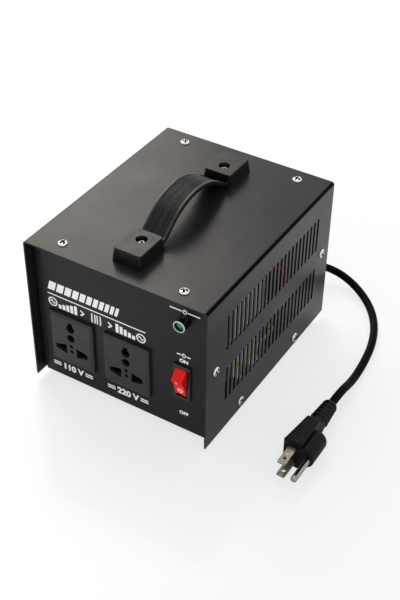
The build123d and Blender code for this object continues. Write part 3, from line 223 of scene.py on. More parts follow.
def moulding(name, base, roughness, texture=0.0007, depth=0.00001, **sockets):
    # Injection-moulded plastic: the spark-eroded texture of the mould, drawn 0.7 mm wide
    # because the real 0.1 mm grain would not show.
    made, tree, shader, where = finish_material(name, base, roughness, **sockets)
    grain(tree, shader, where, texture, depth)
    patchy(tree, shader, where, "Roughness", roughness - 0.05, roughness + 0.06, 0.008)
    patchy(tree, shader, where, "Base Color", shade(base, 0.85), shade(base, 1.15), 0.004)
    return made


def plated(name, base, roughness, scratch=0.0006):
    # Nickel or zinc plate over steel: bright, with the fine turning and handling marks that
    # break up its reflections.
    made, tree, shader, where = finish_material(name, base, roughness, 1.0)
    grain(tree, shader, where, scratch, 0.000008, 4.0, (1, 1, 3))
    patchy(tree, shader, where, "Roughness", roughness * 0.7, roughness * 1.4, 0.002)
    patchy(tree, shader, where, "Base Color", shade(base, 0.8), base, 0.003)
    return made


def laminations(name, base):
    # Silicon steel sheets seen edge on, as light and dark lines. Real sheets are 0.5 mm thick,
    # and the lines are drawn coarser, about 6.3 mm apart.
    made, tree, shader, where = finish_material(name, base, 0.45, 0.8)
    wave = add_node(tree, "ShaderNodeTexWave",
                    {"wave_type": "BANDS", "bands_direction": "Y", "Scale": 1 / (0.001 * 20),
                     "Distortion": 0.4, "Detail": 2.0, "Detail Scale": 40.0}, Vector=where)
    ramp = add_node(tree, "ShaderNodeValToRGB", Fac=wave.outputs["Fac"])
    ramp.color_ramp.elements[0].color = shade(base, 0.45)
    ramp.color_ramp.elements[1].color = shade(base, 1.2)
    tree.links.new(ramp.outputs["Color"], shader.inputs["Base Color"])
    bump = add_node(tree, "ShaderNodeBump", {"Strength": 1.0, "Distance": 0.00008},
                    Height=wave.outputs["Fac"])
    tree.links.new(bump.outputs["Normal"], shader.inputs["Normal"])
    return made


def winding_tape(name, base):
    # Polyester tape wrapped round the winding: turns that overlap, so a step shows at each
    # edge, with a slight gloss. Real turns are 9 mm wide, and these are drawn about 57 mm wide.
    made, tree, shader, where = finish_material(name, base, 0.35)
    wave = add_node(tree, "ShaderNodeTexWave",
                    {"wave_type": "BANDS", "bands_direction": "Z", "wave_profile": "SAW",
                     "Scale": 1 / (0.009 * 20), "Distortion": 0.3, "Detail": 1.0}, Vector=where)
    bump = add_node(tree, "ShaderNodeBump", {"Strength": 1.0, "Distance": 0.0003},
                    Height=wave.outputs["Fac"])
    tree.links.new(bump.outputs["Normal"], shader.inputs["Normal"])
    patchy(tree, shader, where, "Base Color", shade(base, 0.75), shade(base, 1.05), 0.01)
    return made


def vinyl(name, base, roughness, size=0.0012, depth=0.00002, specular=0.5):
    # Plasticised vinyl: satin with a soft, slightly uneven skin from the die or the mould.
    made, tree, shader, where = finish_material(name, base, roughness,
                                                Specular_IOR_Level=specular)
    grain(tree, shader, where, size, depth, 3.0)
    patchy(tree, shader, where, "Roughness", roughness - 0.06, roughness + 0.08, 0.006)
    patchy(tree, shader, where, "Base Color", shade(base, 0.8), shade(base, 1.25), 0.01)
    return made


def clear(name, base, roughness, ior, weight):
    # Cast acrylic or drawn glass: clear or tinted, with faint flow marks.
    made, tree, shader, where = finish_material(name, base, roughness, IOR=ior,
                                                Transmission_Weight=weight)
    grain(tree, shader, where, 0.002, 0.00001)
    patchy(tree, shader, where, "Base Color", shade(base, 0.85), shade(base, 1.1), 0.002)
    return made


def printed_ink(context):
    found = bpy.data.materials.get("Screen-printed ink")
    if found:
        return found
    # Epoxy ink, screen-printed: matt white, a little thin where the mesh left gaps. Its faint
    # emission is painted light, making it read brighter.
    white = tuple(context.scene.converter_case.ink)
    made, tree, shader, where = finish_material("Screen-printed ink", white, 0.55,
                                                Emission_Color=white, Emission_Strength=0.14)
    grain(tree, shader, where, 0.0004, 0.00001)
    patchy(tree, shader, where, "Base Color", shade(white, 0.86), white, 0.0015)
    return made


def coat(material, *nodes):
    """Gives CAD nodes their material."""
    for node in nodes:
        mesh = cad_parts[node].data
        mesh.materials.clear()
        mesh.materials.append(material)


# ------------------------------------------------------------------ meshes
def islands(node):
    """The box of each separate solid in a node, as its low and high corner."""
    work = bmesh.new()
    work.from_mesh(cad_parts[node].data)
    bmesh.ops.remove_doubles(work, verts=work.verts, dist=SAME_PLACE)
    left, boxes = set(work.verts), []
    while left:
        reached, edge = set(), {next(iter(left))}
        while edge:
            reached |= edge
            edge = {e.other_vert(v) for v in edge for e in v.link_edges} - reached
        left -= reached
        spots = [v.co for v in reached]
        boxes.append((Vector([min(c[i] for c in spots) for i in range(3)]),
                      Vector([max(c[i] for c in spots) for i in range(3)])))
    work.free()
    return sorted(boxes, key=lambda box: tuple(round(c, 4) for c in box[0]))


def mesh_piece(name, verts, faces, material, body, smooth=True):
    mesh = bpy.data.meshes.new(name)
    mesh.from_pydata(verts, [], faces)
    mesh.update()
    for polygon in mesh.polygons:
        polygon.use_smooth = smooth
    mesh.materials.append(material)
    piece = bpy.data.objects.new(name, mesh)
    bpy.context.scene.collection.objects.link(piece)
    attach(piece, body)
    return piece


def rounding(n, steps=4):
    """Shares of a rounded edge's radius still to go, sideways and forward, at step n."""
    bend = math.radians(90 * n / steps)
    return 1 - math.sin(bend), 1 - math.cos(bend)


def skin_rows(rows, axis_x, axis_z):
    """A closed skin over rounded rectangles along Y: (y, middle x, half w, half h, corner)."""
    arcs, verts, faces = 9, [], []
    for y, mid, half_w, half_h, corner in rows:
        corner = min(corner, half_w, half_h)
        for quarter, (side, rise) in enumerate(((1, 1), (-1, 1), (-1, -1), (1, -1))):
            for n in range(arcs):
                angle = math.radians(90 * (quarter + n / (arcs - 1)))
                verts.append((axis_x + mid + side * (half_w - corner) + corner * math.cos(angle),
                              y, axis_z + rise * (half_h - corner) + corner * math.sin(angle)))
    ring = 4 * arcs
    for r in range(len(rows) - 1):
        for n in range(ring):
            m = (n + 1) % ring
            faces.append((r * ring + n, r * ring + m, (r + 1) * ring + m, (r + 1) * ring + n))
    faces.append(tuple(reversed(range(ring))))
    faces.append(tuple(range((len(rows) - 1) * ring, len(rows) * ring)))
    return verts, faces


def ink_film(piece):
    """Makes printed faces a closed film, each mark one thin plate."""
    work = bmesh.new()
    work.from_mesh(piece.data)
    bmesh.ops.remove_doubles(work, verts=work.verts, dist=SAME_PLACE)
    bmesh.ops.recalc_face_normals(work, faces=work.faces)
    work.to_mesh(piece.data)
    work.free()
    film = piece.modifiers.new("film", "SOLIDIFY")
    film.thickness, film.offset = INK_FILM, 0.0


def weld(piece, verts, faces):
    """Joins a second closed skin to a piece, with nothing left inside."""
    mesh = bpy.data.meshes.new("joined")
    mesh.from_pydata(verts, [], faces)
    other = bpy.data.objects.new("joined", mesh)
    bpy.context.scene.collection.objects.link(other)
    union = piece.modifiers.new("union", "BOOLEAN")
    union.operation, union.solver, union.object = "UNION", "EXACT", other
    ready = piece.evaluated_get(bpy.context.evaluated_depsgraph_get())
    joined = bpy.data.meshes.new_from_object(ready)
    piece.modifiers.clear()
    piece.data = joined
    for polygon in joined.polygons:
        polygon.use_smooth = True
    joined.set_sharp_from_angle(angle=math.radians(35))
    bpy.data.objects.remove(other)


def rounded_path(points, radii, step):
    """Points and headings, in YZ, along straight runs joined by tangent arcs."""
    points = [Vector(p) for p in points]
    path = [(points[0], (points[1] - points[0]).normalized())]
    for before, here, after, radius in zip(points, points[1:], points[2:], radii):
        first, second = (here - before).normalized(), (after - here).normalized()
        turn = first.angle_signed(second)
        cut = radius * math.tan(abs(turn) / 2)
        start = here - first * cut
        runs = max(2, int((start - path[-1][0]).length / step))
        for n in range(1, runs):
            path.append((path[-1][0].lerp(start, 1 / (runs - n + 1)), first))
        side = Vector((-first.y, first.x)) * (-1 if turn > 0 else 1)
        centre = start + side * radius
        arcs = max(4, int(radius * abs(turn) / step))
        for n in range(arcs + 1):
            spin = Matrix.Rotation(-turn * n / arcs, 2)
            path.append((centre + spin @ (start - centre), (spin @ first).normalized()))
    last = (points[-1] - points[-2]).normalized()
    path.append((points[-1], last))
    return path


def ribbon(points, width):
    """A flat stroke of that width along points in XZ, as quads."""
    quads, overlap = [], 0.15
    for start, end in zip(points, points[1:]):
        start, end = Vector(start), Vector(end)
        across = Vector((start.y - end.y, end.x - start.x)).normalized() * width / 2
        along = (end - start).normalized() * width * overlap
        quads.append([start - along + across, start - along - across,
                      end + along - across, end + along + across])
    return quads


def arc_points(centre, radius, start, end, count):
    return [(centre[0] + radius * math.cos(math.radians(start + (end - start) * n / count)),
             centre[1] + radius * math.sin(math.radians(start + (end - start) * n / count)))
            for n in range(count + 1)]


def text_faces(words, height, middle, stretch):
    """Faces of plain capital letters or numbers, in XZ millimetres, centred on middle."""
    capital, bold = 0.72, 0.06
    curve = bpy.data.curves.new("letters", "FONT")
    curve.body = words
    curve.size = height / capital
    curve.align_x = "CENTER"
    curve.offset = height * bold
    holder = bpy.data.objects.new("letters", curve)
    bpy.context.scene.collection.objects.link(holder)
    bpy.context.view_layer.update()
    flat = bpy.data.meshes.new_from_object(holder)
    faces = [[(middle[0] + flat.vertices[i].co.x * stretch,
               middle[1] - height / 2 + flat.vertices[i].co.y) for i in polygon.vertices]
             for polygon in flat.polygons]
    bpy.data.objects.remove(holder)
    bpy.data.meshes.remove(flat)
    return faces


# ------------------------------------------------------------------ operators
class CONVERTER_OT_camera(bpy.types.Operator):
    """Sets the camera where the photograph was taken from"""
    bl_idname = "converter.camera"
    bl_label = "Camera"

    def execute(self, context):
        azimuth, elevation, roll = (math.radians(a) for a in (30.486, 39.202, 1.150))
        place = (0.3589, -0.5703, 0.5958)
        # The photograph's size, focal length and optical centre, in pixels.
        width, height, focal, centre_x, centre_y = 400, 600, 1126.34, 210.44, 300.29
        sensor = 36.0
        back = Vector((math.sin(azimuth) * math.cos(elevation),
                       -math.cos(azimuth) * math.cos(elevation), math.sin(elevation)))
        right = Vector((0, 0, 1)).cross(back).normalized()
        up = back.cross(right)
        turned_right = right * math.cos(roll) + up * math.sin(roll)
        turned_up = up * math.cos(roll) - right * math.sin(roll)
        data = bpy.data.cameras.new("photo_camera")
        camera = bpy.data.objects.new("photo_camera", data)
        context.scene.collection.objects.link(camera)
        axes = Matrix((turned_right, turned_up, back)).transposed()
        camera.matrix_world = Matrix.Translation(place) @ axes.to_4x4()
        data.sensor_width = sensor
        data.lens = sensor * focal / height
        data.shift_x = -(centre_x - width / 2) / height
        data.shift_y = (centre_y - height / 2) / height
        context.scene.camera = camera
        return {"FINISHED"}


class CONVERTER_OT_lead(bpy.types.Operator):
    """Lays the lead from its bushing to its plug, and gives both their vinyl"""
    bl_idname = "converter.lead"
    bl_label = "Lead and plug"

    def execute(self, context):
        settings = context.scene.converter_lead
        route = [
            (30.0, 95.0, 18.0), (30.0, 105.0, 18.0), (33.3, 116.6, 17.3), (40.3, 126.6, 16.2),
            (50.2, 133.6, 14.6), (62.0, 137.2, 12.4), (74.6, 137.0, 9.6), (90.0, 131.6, 6.2),
            (106.4, 119.2, 4.0), (119.4, 100.8, 3.3), (128.0, 78.0, 3.3), (132.0, 53.0, 3.3),
            (133.8, 28.0, 5.0), (134.2, 6.0, 12.5), (134.2, -11.0, 12.5),
        ]
        curve = bpy.data.curves.new("lead_jacket", "CURVE")
        curve.dimensions = "3D"
        curve.bevel_depth = settings.diameter / 2
        curve.bevel_resolution = 8
        curve.resolution_u = 24
        curve.use_fill_caps = True
        spline = curve.splines.new("NURBS")
        spline.points.add(len(route) - 1)
        for point, place in zip(spline.points, route):
            point.co = (*(c * MM for c in place), 1.0)
        spline.order_u = 3
        spline.use_endpoint_u = True
        lead = bpy.data.objects.new("lead_jacket", curve)
        context.scene.collection.objects.link(lead)
        jacket = vinyl("Extruded vinyl jacket", tuple(settings.jacket), 0.42, specular=0.03)
        curve.materials.append(jacket)
        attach(lead, "root")
        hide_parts("power_cord")
        moulded = vinyl("Moulded vinyl plug", tuple(settings.jacket), 0.42, 0.0008,
                        specular=0.14)
        coat(moulded, "cord_gland")
        self.plug(moulded)
        nickel = plated("Nickel-plated brass blades", linear("#aaa49a"), 0.42, 0.0012)
        self.blades(nickel)
        self.earth_pin(nickel, plated("Shaded seam of the pin", linear("#4a4743"), 0.6))
        return {"FINISHED"}

    def plug(self, material):
        """Grip, neck and ringed tail in one skin, with the earth pin's lobe joined to it."""
        low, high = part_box("plug_body")
        axis_x, axis_z = 0.1342, 0.0125
        face, tail_end = low.y, high.y
        grip_end, neck_end = face + 0.0295, face + 0.0345
        left, right, waist, half_h, corner = -0.0084, 0.0056, 0.0036, 0.0125, 0.0016
        front_r, back_r = 0.0008, 0.0012
        shoulder_h, shoulder_w, shoulder_shift = 0.0099, 0.0052, 0.0006
        neck_r, neck_corner, tail_r = 0.0067, 0.0064, 0.0049
        ribs, rib_pitch, last_rib, rib_proud, rib_reach = 5, 0.0040, 0.0022, 0.0008, 0.4
        rows = []

        def row(y, left, right, half_h, corner):
            rows.append((y, (left + right) / 2, (right - left) / 2, half_h, corner))

        for n in range(5):
            side, ahead = rounding(n)
            inset, y = front_r * side, face + front_r * ahead
            row(y, left + inset, right - inset, half_h - inset, corner)
        for n in range(1, 9):
            y = face + front_r + (grip_end - face - (front_r + back_r)) * n / 8
            row(y, left + waist * (y - face) / (grip_end - face), right, half_h, corner)
        for n in range(1, 5):
            side, ahead = rounding(n)
            inset, y = back_r * ahead, grip_end - back_r * side
            row(y, left + waist + inset, right - inset, half_h - inset, corner)
        for n in range(6):
            share = n / 5
            half = shoulder_h + (neck_r - shoulder_h) * share
            side = shoulder_w + (neck_r - shoulder_w) * share
            row(grip_end + (neck_end - grip_end) * share, -side + shoulder_shift * (1 - share),
                side, half, corner + (neck_corner - corner) * share)
        steps = 84
        for n in range(1, steps + 1):
            y = neck_end + (tail_end - neck_end) * n / steps
            radius = neck_r + (tail_r - neck_r) * n / steps
            from_end = (tail_end - last_rib - y) / rib_pitch
            if -rib_reach < from_end < ribs - 1 + rib_reach:
                away = min(1.0, abs(from_end - round(from_end)) / rib_reach)
                radius += rib_proud * max(0.0, math.cos(away * math.pi / 2)) ** 0.4
            row(y, -radius, radius, radius, radius)
        verts, faces = skin_rows(rows, axis_x, axis_z)
        body = mesh_piece("plug_moulding", verts, faces, material, "root")
        lobe_rows = []
        lobe_x, lobe_r, lobe_l, tip, taper = 0.0072, 0.0082, 0.0255, 0.0055, 0.0048
        for n in range(5):
            side, ahead = rounding(n)
            r = lobe_r - front_r * side
            lobe_rows.append((face + front_r * ahead, lobe_x, r, r, r))
        for n in range(9):
            side, ahead = rounding(n, 8)
            r = lobe_r - taper * ahead
            lobe_rows.append((face + lobe_l - tip * side, lobe_x, r, r, r))
        verts, faces = skin_rows(lobe_rows, axis_x, axis_z)
        weld(body, verts, faces)
        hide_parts("plug_body")

    def blades(self, material):
        """Two flat blades with square ends and a round hole through each."""
        verts, faces = [], []
        blade_l, hole_from_root, count, radius = 0.0174, 0.0120, 32, 0.00155
        for low, high in islands("plug_blades"):
            hole = Vector(((low.x + high.x) / 2, high.y - hole_from_root))
            tip, root = high.y - blade_l, high.y
            for z in (low.z, high.z):
                for n in range(count):
                    angle = 2 * math.pi * (n + 0.5) / count
                    x, y = math.cos(angle), math.sin(angle)
                    verts.append((hole.x + radius * x, hole.y + radius * y, z))
                    verts.append(self.edge_point(hole, x, y, low.x, high.x, tip, root) + (z,))
            start = len(verts) - 4 * count
            for n in range(count):
                m = (n + 1) % count
                top, bottom = start + 2 * count, start
                faces.append((top + 2 * n, top + 2 * n + 1, top + 2 * m + 1, top + 2 * m))
                faces.append((bottom + 2 * m, bottom + 2 * m + 1, bottom + 2 * n + 1,
                              bottom + 2 * n))
                faces.append((bottom + 2 * n, top + 2 * n, top + 2 * m, bottom + 2 * m))
                faces.append((bottom + 2 * m + 1, top + 2 * m + 1, top + 2 * n + 1,
                              bottom + 2 * n + 1))
        piece = mesh_piece("plug_flat_blades", verts, faces, material, "root",
                           smooth=False)
        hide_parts("plug_blades")

    def edge_point(self, hole, x, y, left, right, tip, root):
        """Where a ray from the hole meets the blade's straight outline, corners kept."""
        reach_x = ((right if x > 0 else left) - hole.x) / x
        reach_y = ((root if y > 0 else tip) - hole.y) / y
        reach = min(reach_x, reach_y)
        return (hole.x + reach * x, hole.y + reach * y)

    def earth_pin(self, material, seam_material):
        """Pin folded from strip: round outside, an open seam on top and a closed nose."""
        low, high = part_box("plug_ground_pin")
        x, z, radius = (low.x + high.x) / 2, (low.z + high.z) / 2, (high.x - low.x) / 2
        pin_l, nose, step, edge_r, seam = 0.0214, 0.0030, 0.0002, 0.0008, 0.00085
        tip, root = high.y - pin_l, high.y
        count, rows, verts, faces = 32, [], [], []
        for n in reversed(range(5)):
            side, ahead = rounding(n)
            rows.append((tip + edge_r * side, radius - edge_r * ahead, False))
        rows += [(tip + nose, radius, False), (tip + nose + step, radius, True),
                 (root, radius, True)]
        opening = math.asin(seam / radius)
        for y, r, cut in rows:
            for n in range(count):
                angle = math.pi / 2 + opening + (2 * math.pi - 2 * opening) * n / (count - 1)
                verts.append((x + r * math.cos(angle), y, z + r * math.sin(angle)))
            floor = z - radius * 0.1 if cut else z + r * math.cos(opening) * 0.98
            for side in (seam, -seam):
                verts.append((x + side * r / radius, y, floor))
        ring = count + 2
        for row in range(len(rows) - 1):
            for n in range(ring):
                m = (n + 1) % ring
                faces.append((row * ring + m, row * ring + n, (row + 1) * ring + n,
                              (row + 1) * ring + m))
        faces.append(tuple(range(ring)))
        faces.append(tuple(reversed(range((len(rows) - 1) * ring, len(rows) * ring))))
        piece = mesh_piece("plug_folded_pin", verts, faces, material, "root",
                           smooth=False)
        piece.data.materials.append(seam_material)
        for row in range(len(rows) - 1):
            for n in range(count - 1, ring):
                if rows[row + 1][2]:
                    piece.data.polygons[row * ring + n].material_index = 1
        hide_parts("plug_ground_pin")


class CONVERTER_OT_stage(bpy.types.Operator):
    """Floor, white surroundings and a lamp"""
    bl_idname = "converter.stage"
    bl_label = "Stage"

    def execute(self, context):
        settings = context.scene.converter_stage
        made, tree, shader, where = finish_material("White acrylic floor",
                                                    tuple(settings.floor), 0.16, IOR=1.45)
        # Satin white sheet: nearly white, with a faint mirror image of what stands on it.
        patchy(tree, shader, where, "Roughness", 0.14, 0.18, 0.2)
        self.veil(tree, shader, settings)
        size = 6.0
        mesh = bpy.data.meshes.new("floor")
        mesh.from_pydata([(-size, -size, 0), (size, -size, 0), (size, size, 0), (-size, size, 0)],
                         [], [(0, 1, 2, 3)])
        mesh.materials.append(made)
        floor = bpy.data.objects.new("floor", mesh)
        context.scene.collection.objects.link(floor)
        self.surroundings(context, settings)
        self.lamp(context, "key_lamp", (-1.15, 0.82, 1.30), 1.3, settings.key, "#fff4e8")
        context.scene.view_settings.view_transform = "Standard"
        return {"FINISHED"}

    def seen(self, tree, direct=1.0, mirrored=1.0):
        """How much rays show of a background: from the camera, and from a mirror or glass."""
        rays = add_node(tree, "ShaderNodeLightPath").outputs
        bent = add_node(tree, "ShaderNodeMath", {"operation": "MAXIMUM"})
        tree.links.new(rays["Is Glossy Ray"], bent.inputs[0])
        tree.links.new(rays["Is Transmission Ray"], bent.inputs[1])
        weaker = add_node(tree, "ShaderNodeMath", {"operation": "MULTIPLY"})
        tree.links.new(bent.outputs[0], weaker.inputs[0])
        weaker.inputs[1].default_value = mirrored
        straight = add_node(tree, "ShaderNodeMath", {"operation": "MULTIPLY"})
        tree.links.new(rays["Is Camera Ray"], straight.inputs[0])
        straight.inputs[1].default_value = direct
        every = add_node(tree, "ShaderNodeMath", {"operation": "MAXIMUM"})
        tree.links.new(straight.outputs[0], every.inputs[0])
        tree.links.new(weaker.outputs[0], every.inputs[1])
        return every.outputs[0]

    def veil(self, tree, shader, settings):
        """Mixes plain white into what is seen of the floor, so its shadows stay pale."""
        white = add_node(tree, "ShaderNodeEmission",
                         {"Color": tuple(settings.backdrop), "Strength": 1.0})
        share = self.seen(tree, settings.veil, settings.mirrored_veil)
        mix = add_node(tree, "ShaderNodeMixShader", Fac=share)
        tree.links.new(shader.outputs[0], mix.inputs[1])
        tree.links.new(white.outputs[0], mix.inputs[2])
        tree.links.new(mix.outputs[0], tree.nodes["Material Output"].inputs["Surface"])

    def surroundings(self, context, settings):
        world = bpy.data.worlds.new("Studio")
        world.use_nodes = True
        tree = world.node_tree
        tree.nodes.clear()
        fill = add_node(tree, "ShaderNodeBackground",
                        {"Color": linear("#f4f7ff"), "Strength": settings.fill})
        seen_white = add_node(tree, "ShaderNodeBackground",
                              {"Color": tuple(settings.backdrop), "Strength": 1.0})
        mix = add_node(tree, "ShaderNodeMixShader", Fac=self.seen(tree))
        tree.links.new(fill.outputs[0], mix.inputs[1])
        tree.links.new(seen_white.outputs[0], mix.inputs[2])
        add_node(tree, "ShaderNodeOutputWorld", Surface=mix.outputs[0])
        context.scene.world = world

    def lamp(self, context, name, place, size, power, hex_colour):
        data = bpy.data.lights.new(name, "AREA")
        data.size = size
        data.energy = power
        data.color = linear(hex_colour)[:3]
        lamp = bpy.data.objects.new(name, data)
        context.scene.collection.objects.link(lamp)
        lamp.location = place
        lamp.rotation_mode = "QUATERNION"
        lamp.rotation_quaternion = (-Vector(place)).to_track_quat("-Z", "Y")


class CONVERTER_OT_case(bpy.types.Operator):
    """Enamels the cover and the chassis, and plates their screws"""
    bl_idname = "converter.case"
    bl_label = "Case"

    def execute(self, context):
        settings = context.scene.converter_case
        base = tuple(settings.enamel)
        sheen = 0.24
        cover = enamel("Baked enamel on cover", base, settings.peel, 0.29, sheen)
        # The cover's bends get painted shade, a dark line along each.
        coat(painted_shade_on_bends(cover, sheen), "cover")
        coat(enamel("Baked enamel on chassis", base, settings.peel, 0.38, 0.22), "chassis")
        nickel = plated("Nickel-plated screws", linear("#e6e4de"), 0.16)
        recess = plated("Shaded screw recess", linear("#0e0d0c"), 0.7)
        self.screws(nickel, recess, "cover_top_screws", (0, 0, 1), 1.1, 1.0)
        self.screws(nickel, recess, "cover_side_screws", (1, 0, 0), 1.1, 1.0)
        self.screws(nickel, recess, "handle_screws", (0, 0, 1), 1.0, 0.6)
        self.screws(nickel, recess, "selector_screws", (0, 1, 0), 1.0, 0.8)
        coat(plated("Zinc-plated fasteners", linear("#b4b8ba"), 0.32), "handle_nuts", "lamp_nut",
             "bracket_bolts", "bracket_nuts", "feet_screws", "earth_stud", "terminal_screws")
        rubber = vinyl("Moulded rubber feet", linear("#131313"), 0.7)
        coat(rubber, "rubber_feet")
        return {"FINISHED"}

    def screws(self, metal, recess, node, axis, spread, cross):
        """Domed heads with a cross recess, one on each screw of the node."""
        verts, faces, dark = [], [], set()
        middle = sum(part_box(node), Vector()) / 2
        for number, (low, high) in enumerate(islands(node)):
            centre = (low + high) / 2
            out = Vector(axis)
            if axis[0] and centre.x < middle.x:
                out = -out
            half = (high - low) / 2
            radius = max(half.dot(Vector((abs(out.y), abs(out.z), abs(out.x)))),
                         half.dot(Vector((abs(out.z), abs(out.x), abs(out.y)))))
            reach = abs(half.dot(out))
            self.screw(verts, faces, dark, centre + out * reach, out, radius * spread,
                       2 * reach, 0.5 + 1.1 * number, cross)
        piece = mesh_piece(node.replace("screws", "cross_screws"), verts, faces, metal, "root")
        piece.data.materials.append(recess)
        for n in dark:
            piece.data.polygons[n].material_index = 1
        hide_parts(node)

    def screw(self, verts, faces, dark, top, out, radius, length, turn, cross):
        """One screw: rings from the middle of its dome, down its shank to the tip."""
        across = out.orthogonal().normalized()
        up = out.cross(across)
        count, start = 48, len(verts)
        arm, reach = 0.2 * cross * radius, 0.68 * cross * radius
        dome, depth, head, shank = 0.42 * radius, 0.42 * radius, 0.5 * radius, 0.45
        rings = [0.02 + 0.98 * n / 15 for n in range(16)]
        for share in rings:
            for n in range(count):
                angle = 2 * math.pi * n / count
                x, y = share * radius * math.cos(angle), share * radius * math.sin(angle)
                drop = dome * (1 - math.sqrt(max(0.0, 1 - share ** 2)))
                inside = min(abs(x), abs(y)) < arm and max(abs(x), abs(y)) < reach
                turned = across * (x * math.cos(turn) - y * math.sin(turn))
                turned += up * (x * math.sin(turn) + y * math.cos(turn))
                verts.append(tuple(top + turned - out * (drop + depth * inside)))
        for share, drop in ((1.0, head), (shank, head), (shank, length)):
            for n in range(count):
                angle = turn + 2 * math.pi * n / count
                turned = across * math.cos(angle) + up * math.sin(angle)
                verts.append(tuple(top + turned * share * radius - out * drop))
        total = len(rings) + 3
        for r in range(total - 1):
            for n in range(count):
                m = (n + 1) % count
                near = [start + r * count + n, start + r * count + m]
                far = [start + (r + 1) * count + m, start + (r + 1) * count + n]
                middle_share = (rings[r] + rings[r + 1]) / 2 if r + 1 < len(rings) else 1.0
                angle = 2 * math.pi * (n + 0.5) / count
                x = middle_share * radius * math.cos(angle)
                y = middle_share * radius * math.sin(angle)
                if min(abs(x), abs(y)) < arm * 1.15 and max(abs(x), abs(y)) < reach:
                    dark.add(len(faces))
                faces.append(tuple(near + far))
        dark.add(len(faces))
        faces.append(tuple(start + n for n in reversed(range(count))))
        faces.append(tuple(start + (total - 1) * count + n for n in range(count)))


class CONVERTER_OT_handle(bpy.types.Operator):
    """Makes the ribbed vinyl strap and gives its end caps their moulded grain"""
    bl_idname = "converter.handle"
    bl_label = "Strap handle"

    def execute(self, context):
        s = context.scene.converter_strap
        low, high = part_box("handle_strap")
        mid_x = (low.x + high.x) / 2
        mid_y = (low.y + high.y) / 2
        half_l = (high.y - low.y) / 2
        flat_z = low.z + s.thickness / 2
        bend_y, bend_r, slope = 0.0413, 0.007, math.radians(35)
        step, bead_run, bead_start = 0.0015, 0.002, 0.2
        rise = high.z - s.thickness / 2 - s.bead - flat_z
        shoulder = bend_y - rise / math.tan(slope)
        arch_r = 0.97 * shoulder / math.tan(slope / 2)
        corners = [(-half_l, 0), (-bend_y, 0), (-shoulder, rise), (shoulder, rise),
                   (bend_y, 0), (half_l, 0)]
        path = rounded_path(corners, [bend_r, arch_r, arch_r, bend_r], step)
        inner_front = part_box("handle_cap_front")[1].y - mid_y
        verts, rings = [], 0
        for place, heading in path:
            past_cap = -inner_front - abs(place.x)
            proud = min(1.0, max(0.0, past_cap / bead_run + bead_start))
            up = Vector((-heading.y, heading.x))
            for x, lift in self.section(s, proud):
                spot = place + up * lift
                verts.append((mid_x + x, mid_y + spot.x, flat_z + spot.y))
            rings += 1
        count = len(verts) // rings
        faces = [(r * count + n, r * count + (n + 1) % count, (r + 1) * count + (n + 1) % count,
                  (r + 1) * count + n) for r in range(rings - 1) for n in range(count)]
        faces += [tuple(range(count)), tuple(reversed(range((rings - 1) * count, rings * count)))]
        skin = vinyl("Extruded vinyl strap", tuple(s.vinyl), 0.24, 0.0009, 0.00001, 0.42)
        strap = mesh_piece("strap_vinyl_ribbed", verts, faces, skin, "root")
        # Groove bottoms get a darker, less glossy copy of the vinyl: painted shade in the grooves.
        strap.data.materials.append(vinyl("Vinyl groove with painted shade", shade(tuple(s.vinyl), 0.3), 0.45,
                                          0.0009, 0.00001, 0.1))
        lifts = [lift for x, lift in self.section(s, 1.0)]
        groove_shade_line = s.thickness / 2 - 0.45 * s.groove_depth
        for number in range((rings - 1) * count):
            n = number % count
            if 0 < min(lifts[n], lifts[(n + 1) % count]) < groove_shade_line:
                strap.data.polygons[number].material_index = 1
        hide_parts("handle_strap")
        cap = moulding("Spark-textured ABS end caps", tuple(s.cap), 0.34,
                       Specular_IOR_Level=0.26)
        coat(cap, "handle_cap_front", "handle_cap_rear")
        return {"FINISHED"}

    def section(self, s, proud):
        """Outline of the strap: grooved top between two beads, and a plain underside."""
        half_w, half_t = s.width / 2, s.thickness / 2
        bead_w, edge_r, steps, top = 0.0022, 0.0005, 96, []
        for n in range(steps + 1):
            x = -half_w + s.width * n / steps
            edge = half_w - abs(x)
            if edge < bead_w:
                lift = s.bead * proud * math.sin(math.pi * min(1.0, edge / bead_w)) ** 0.7
                lift -= edge_r * (1 - min(1.0, edge / edge_r)) ** 2
            else:
                wave = 0.5 - 0.5 * math.cos(2 * math.pi * (edge - bead_w) / s.groove_pitch)
                lift = -s.groove_depth * (1 - wave ** 0.7)
            top.append((x, half_t + lift))
        under = [(-x, -y) for x, y in top if round((x + half_w) / s.width * steps) % 6 == 0]
        return top + under


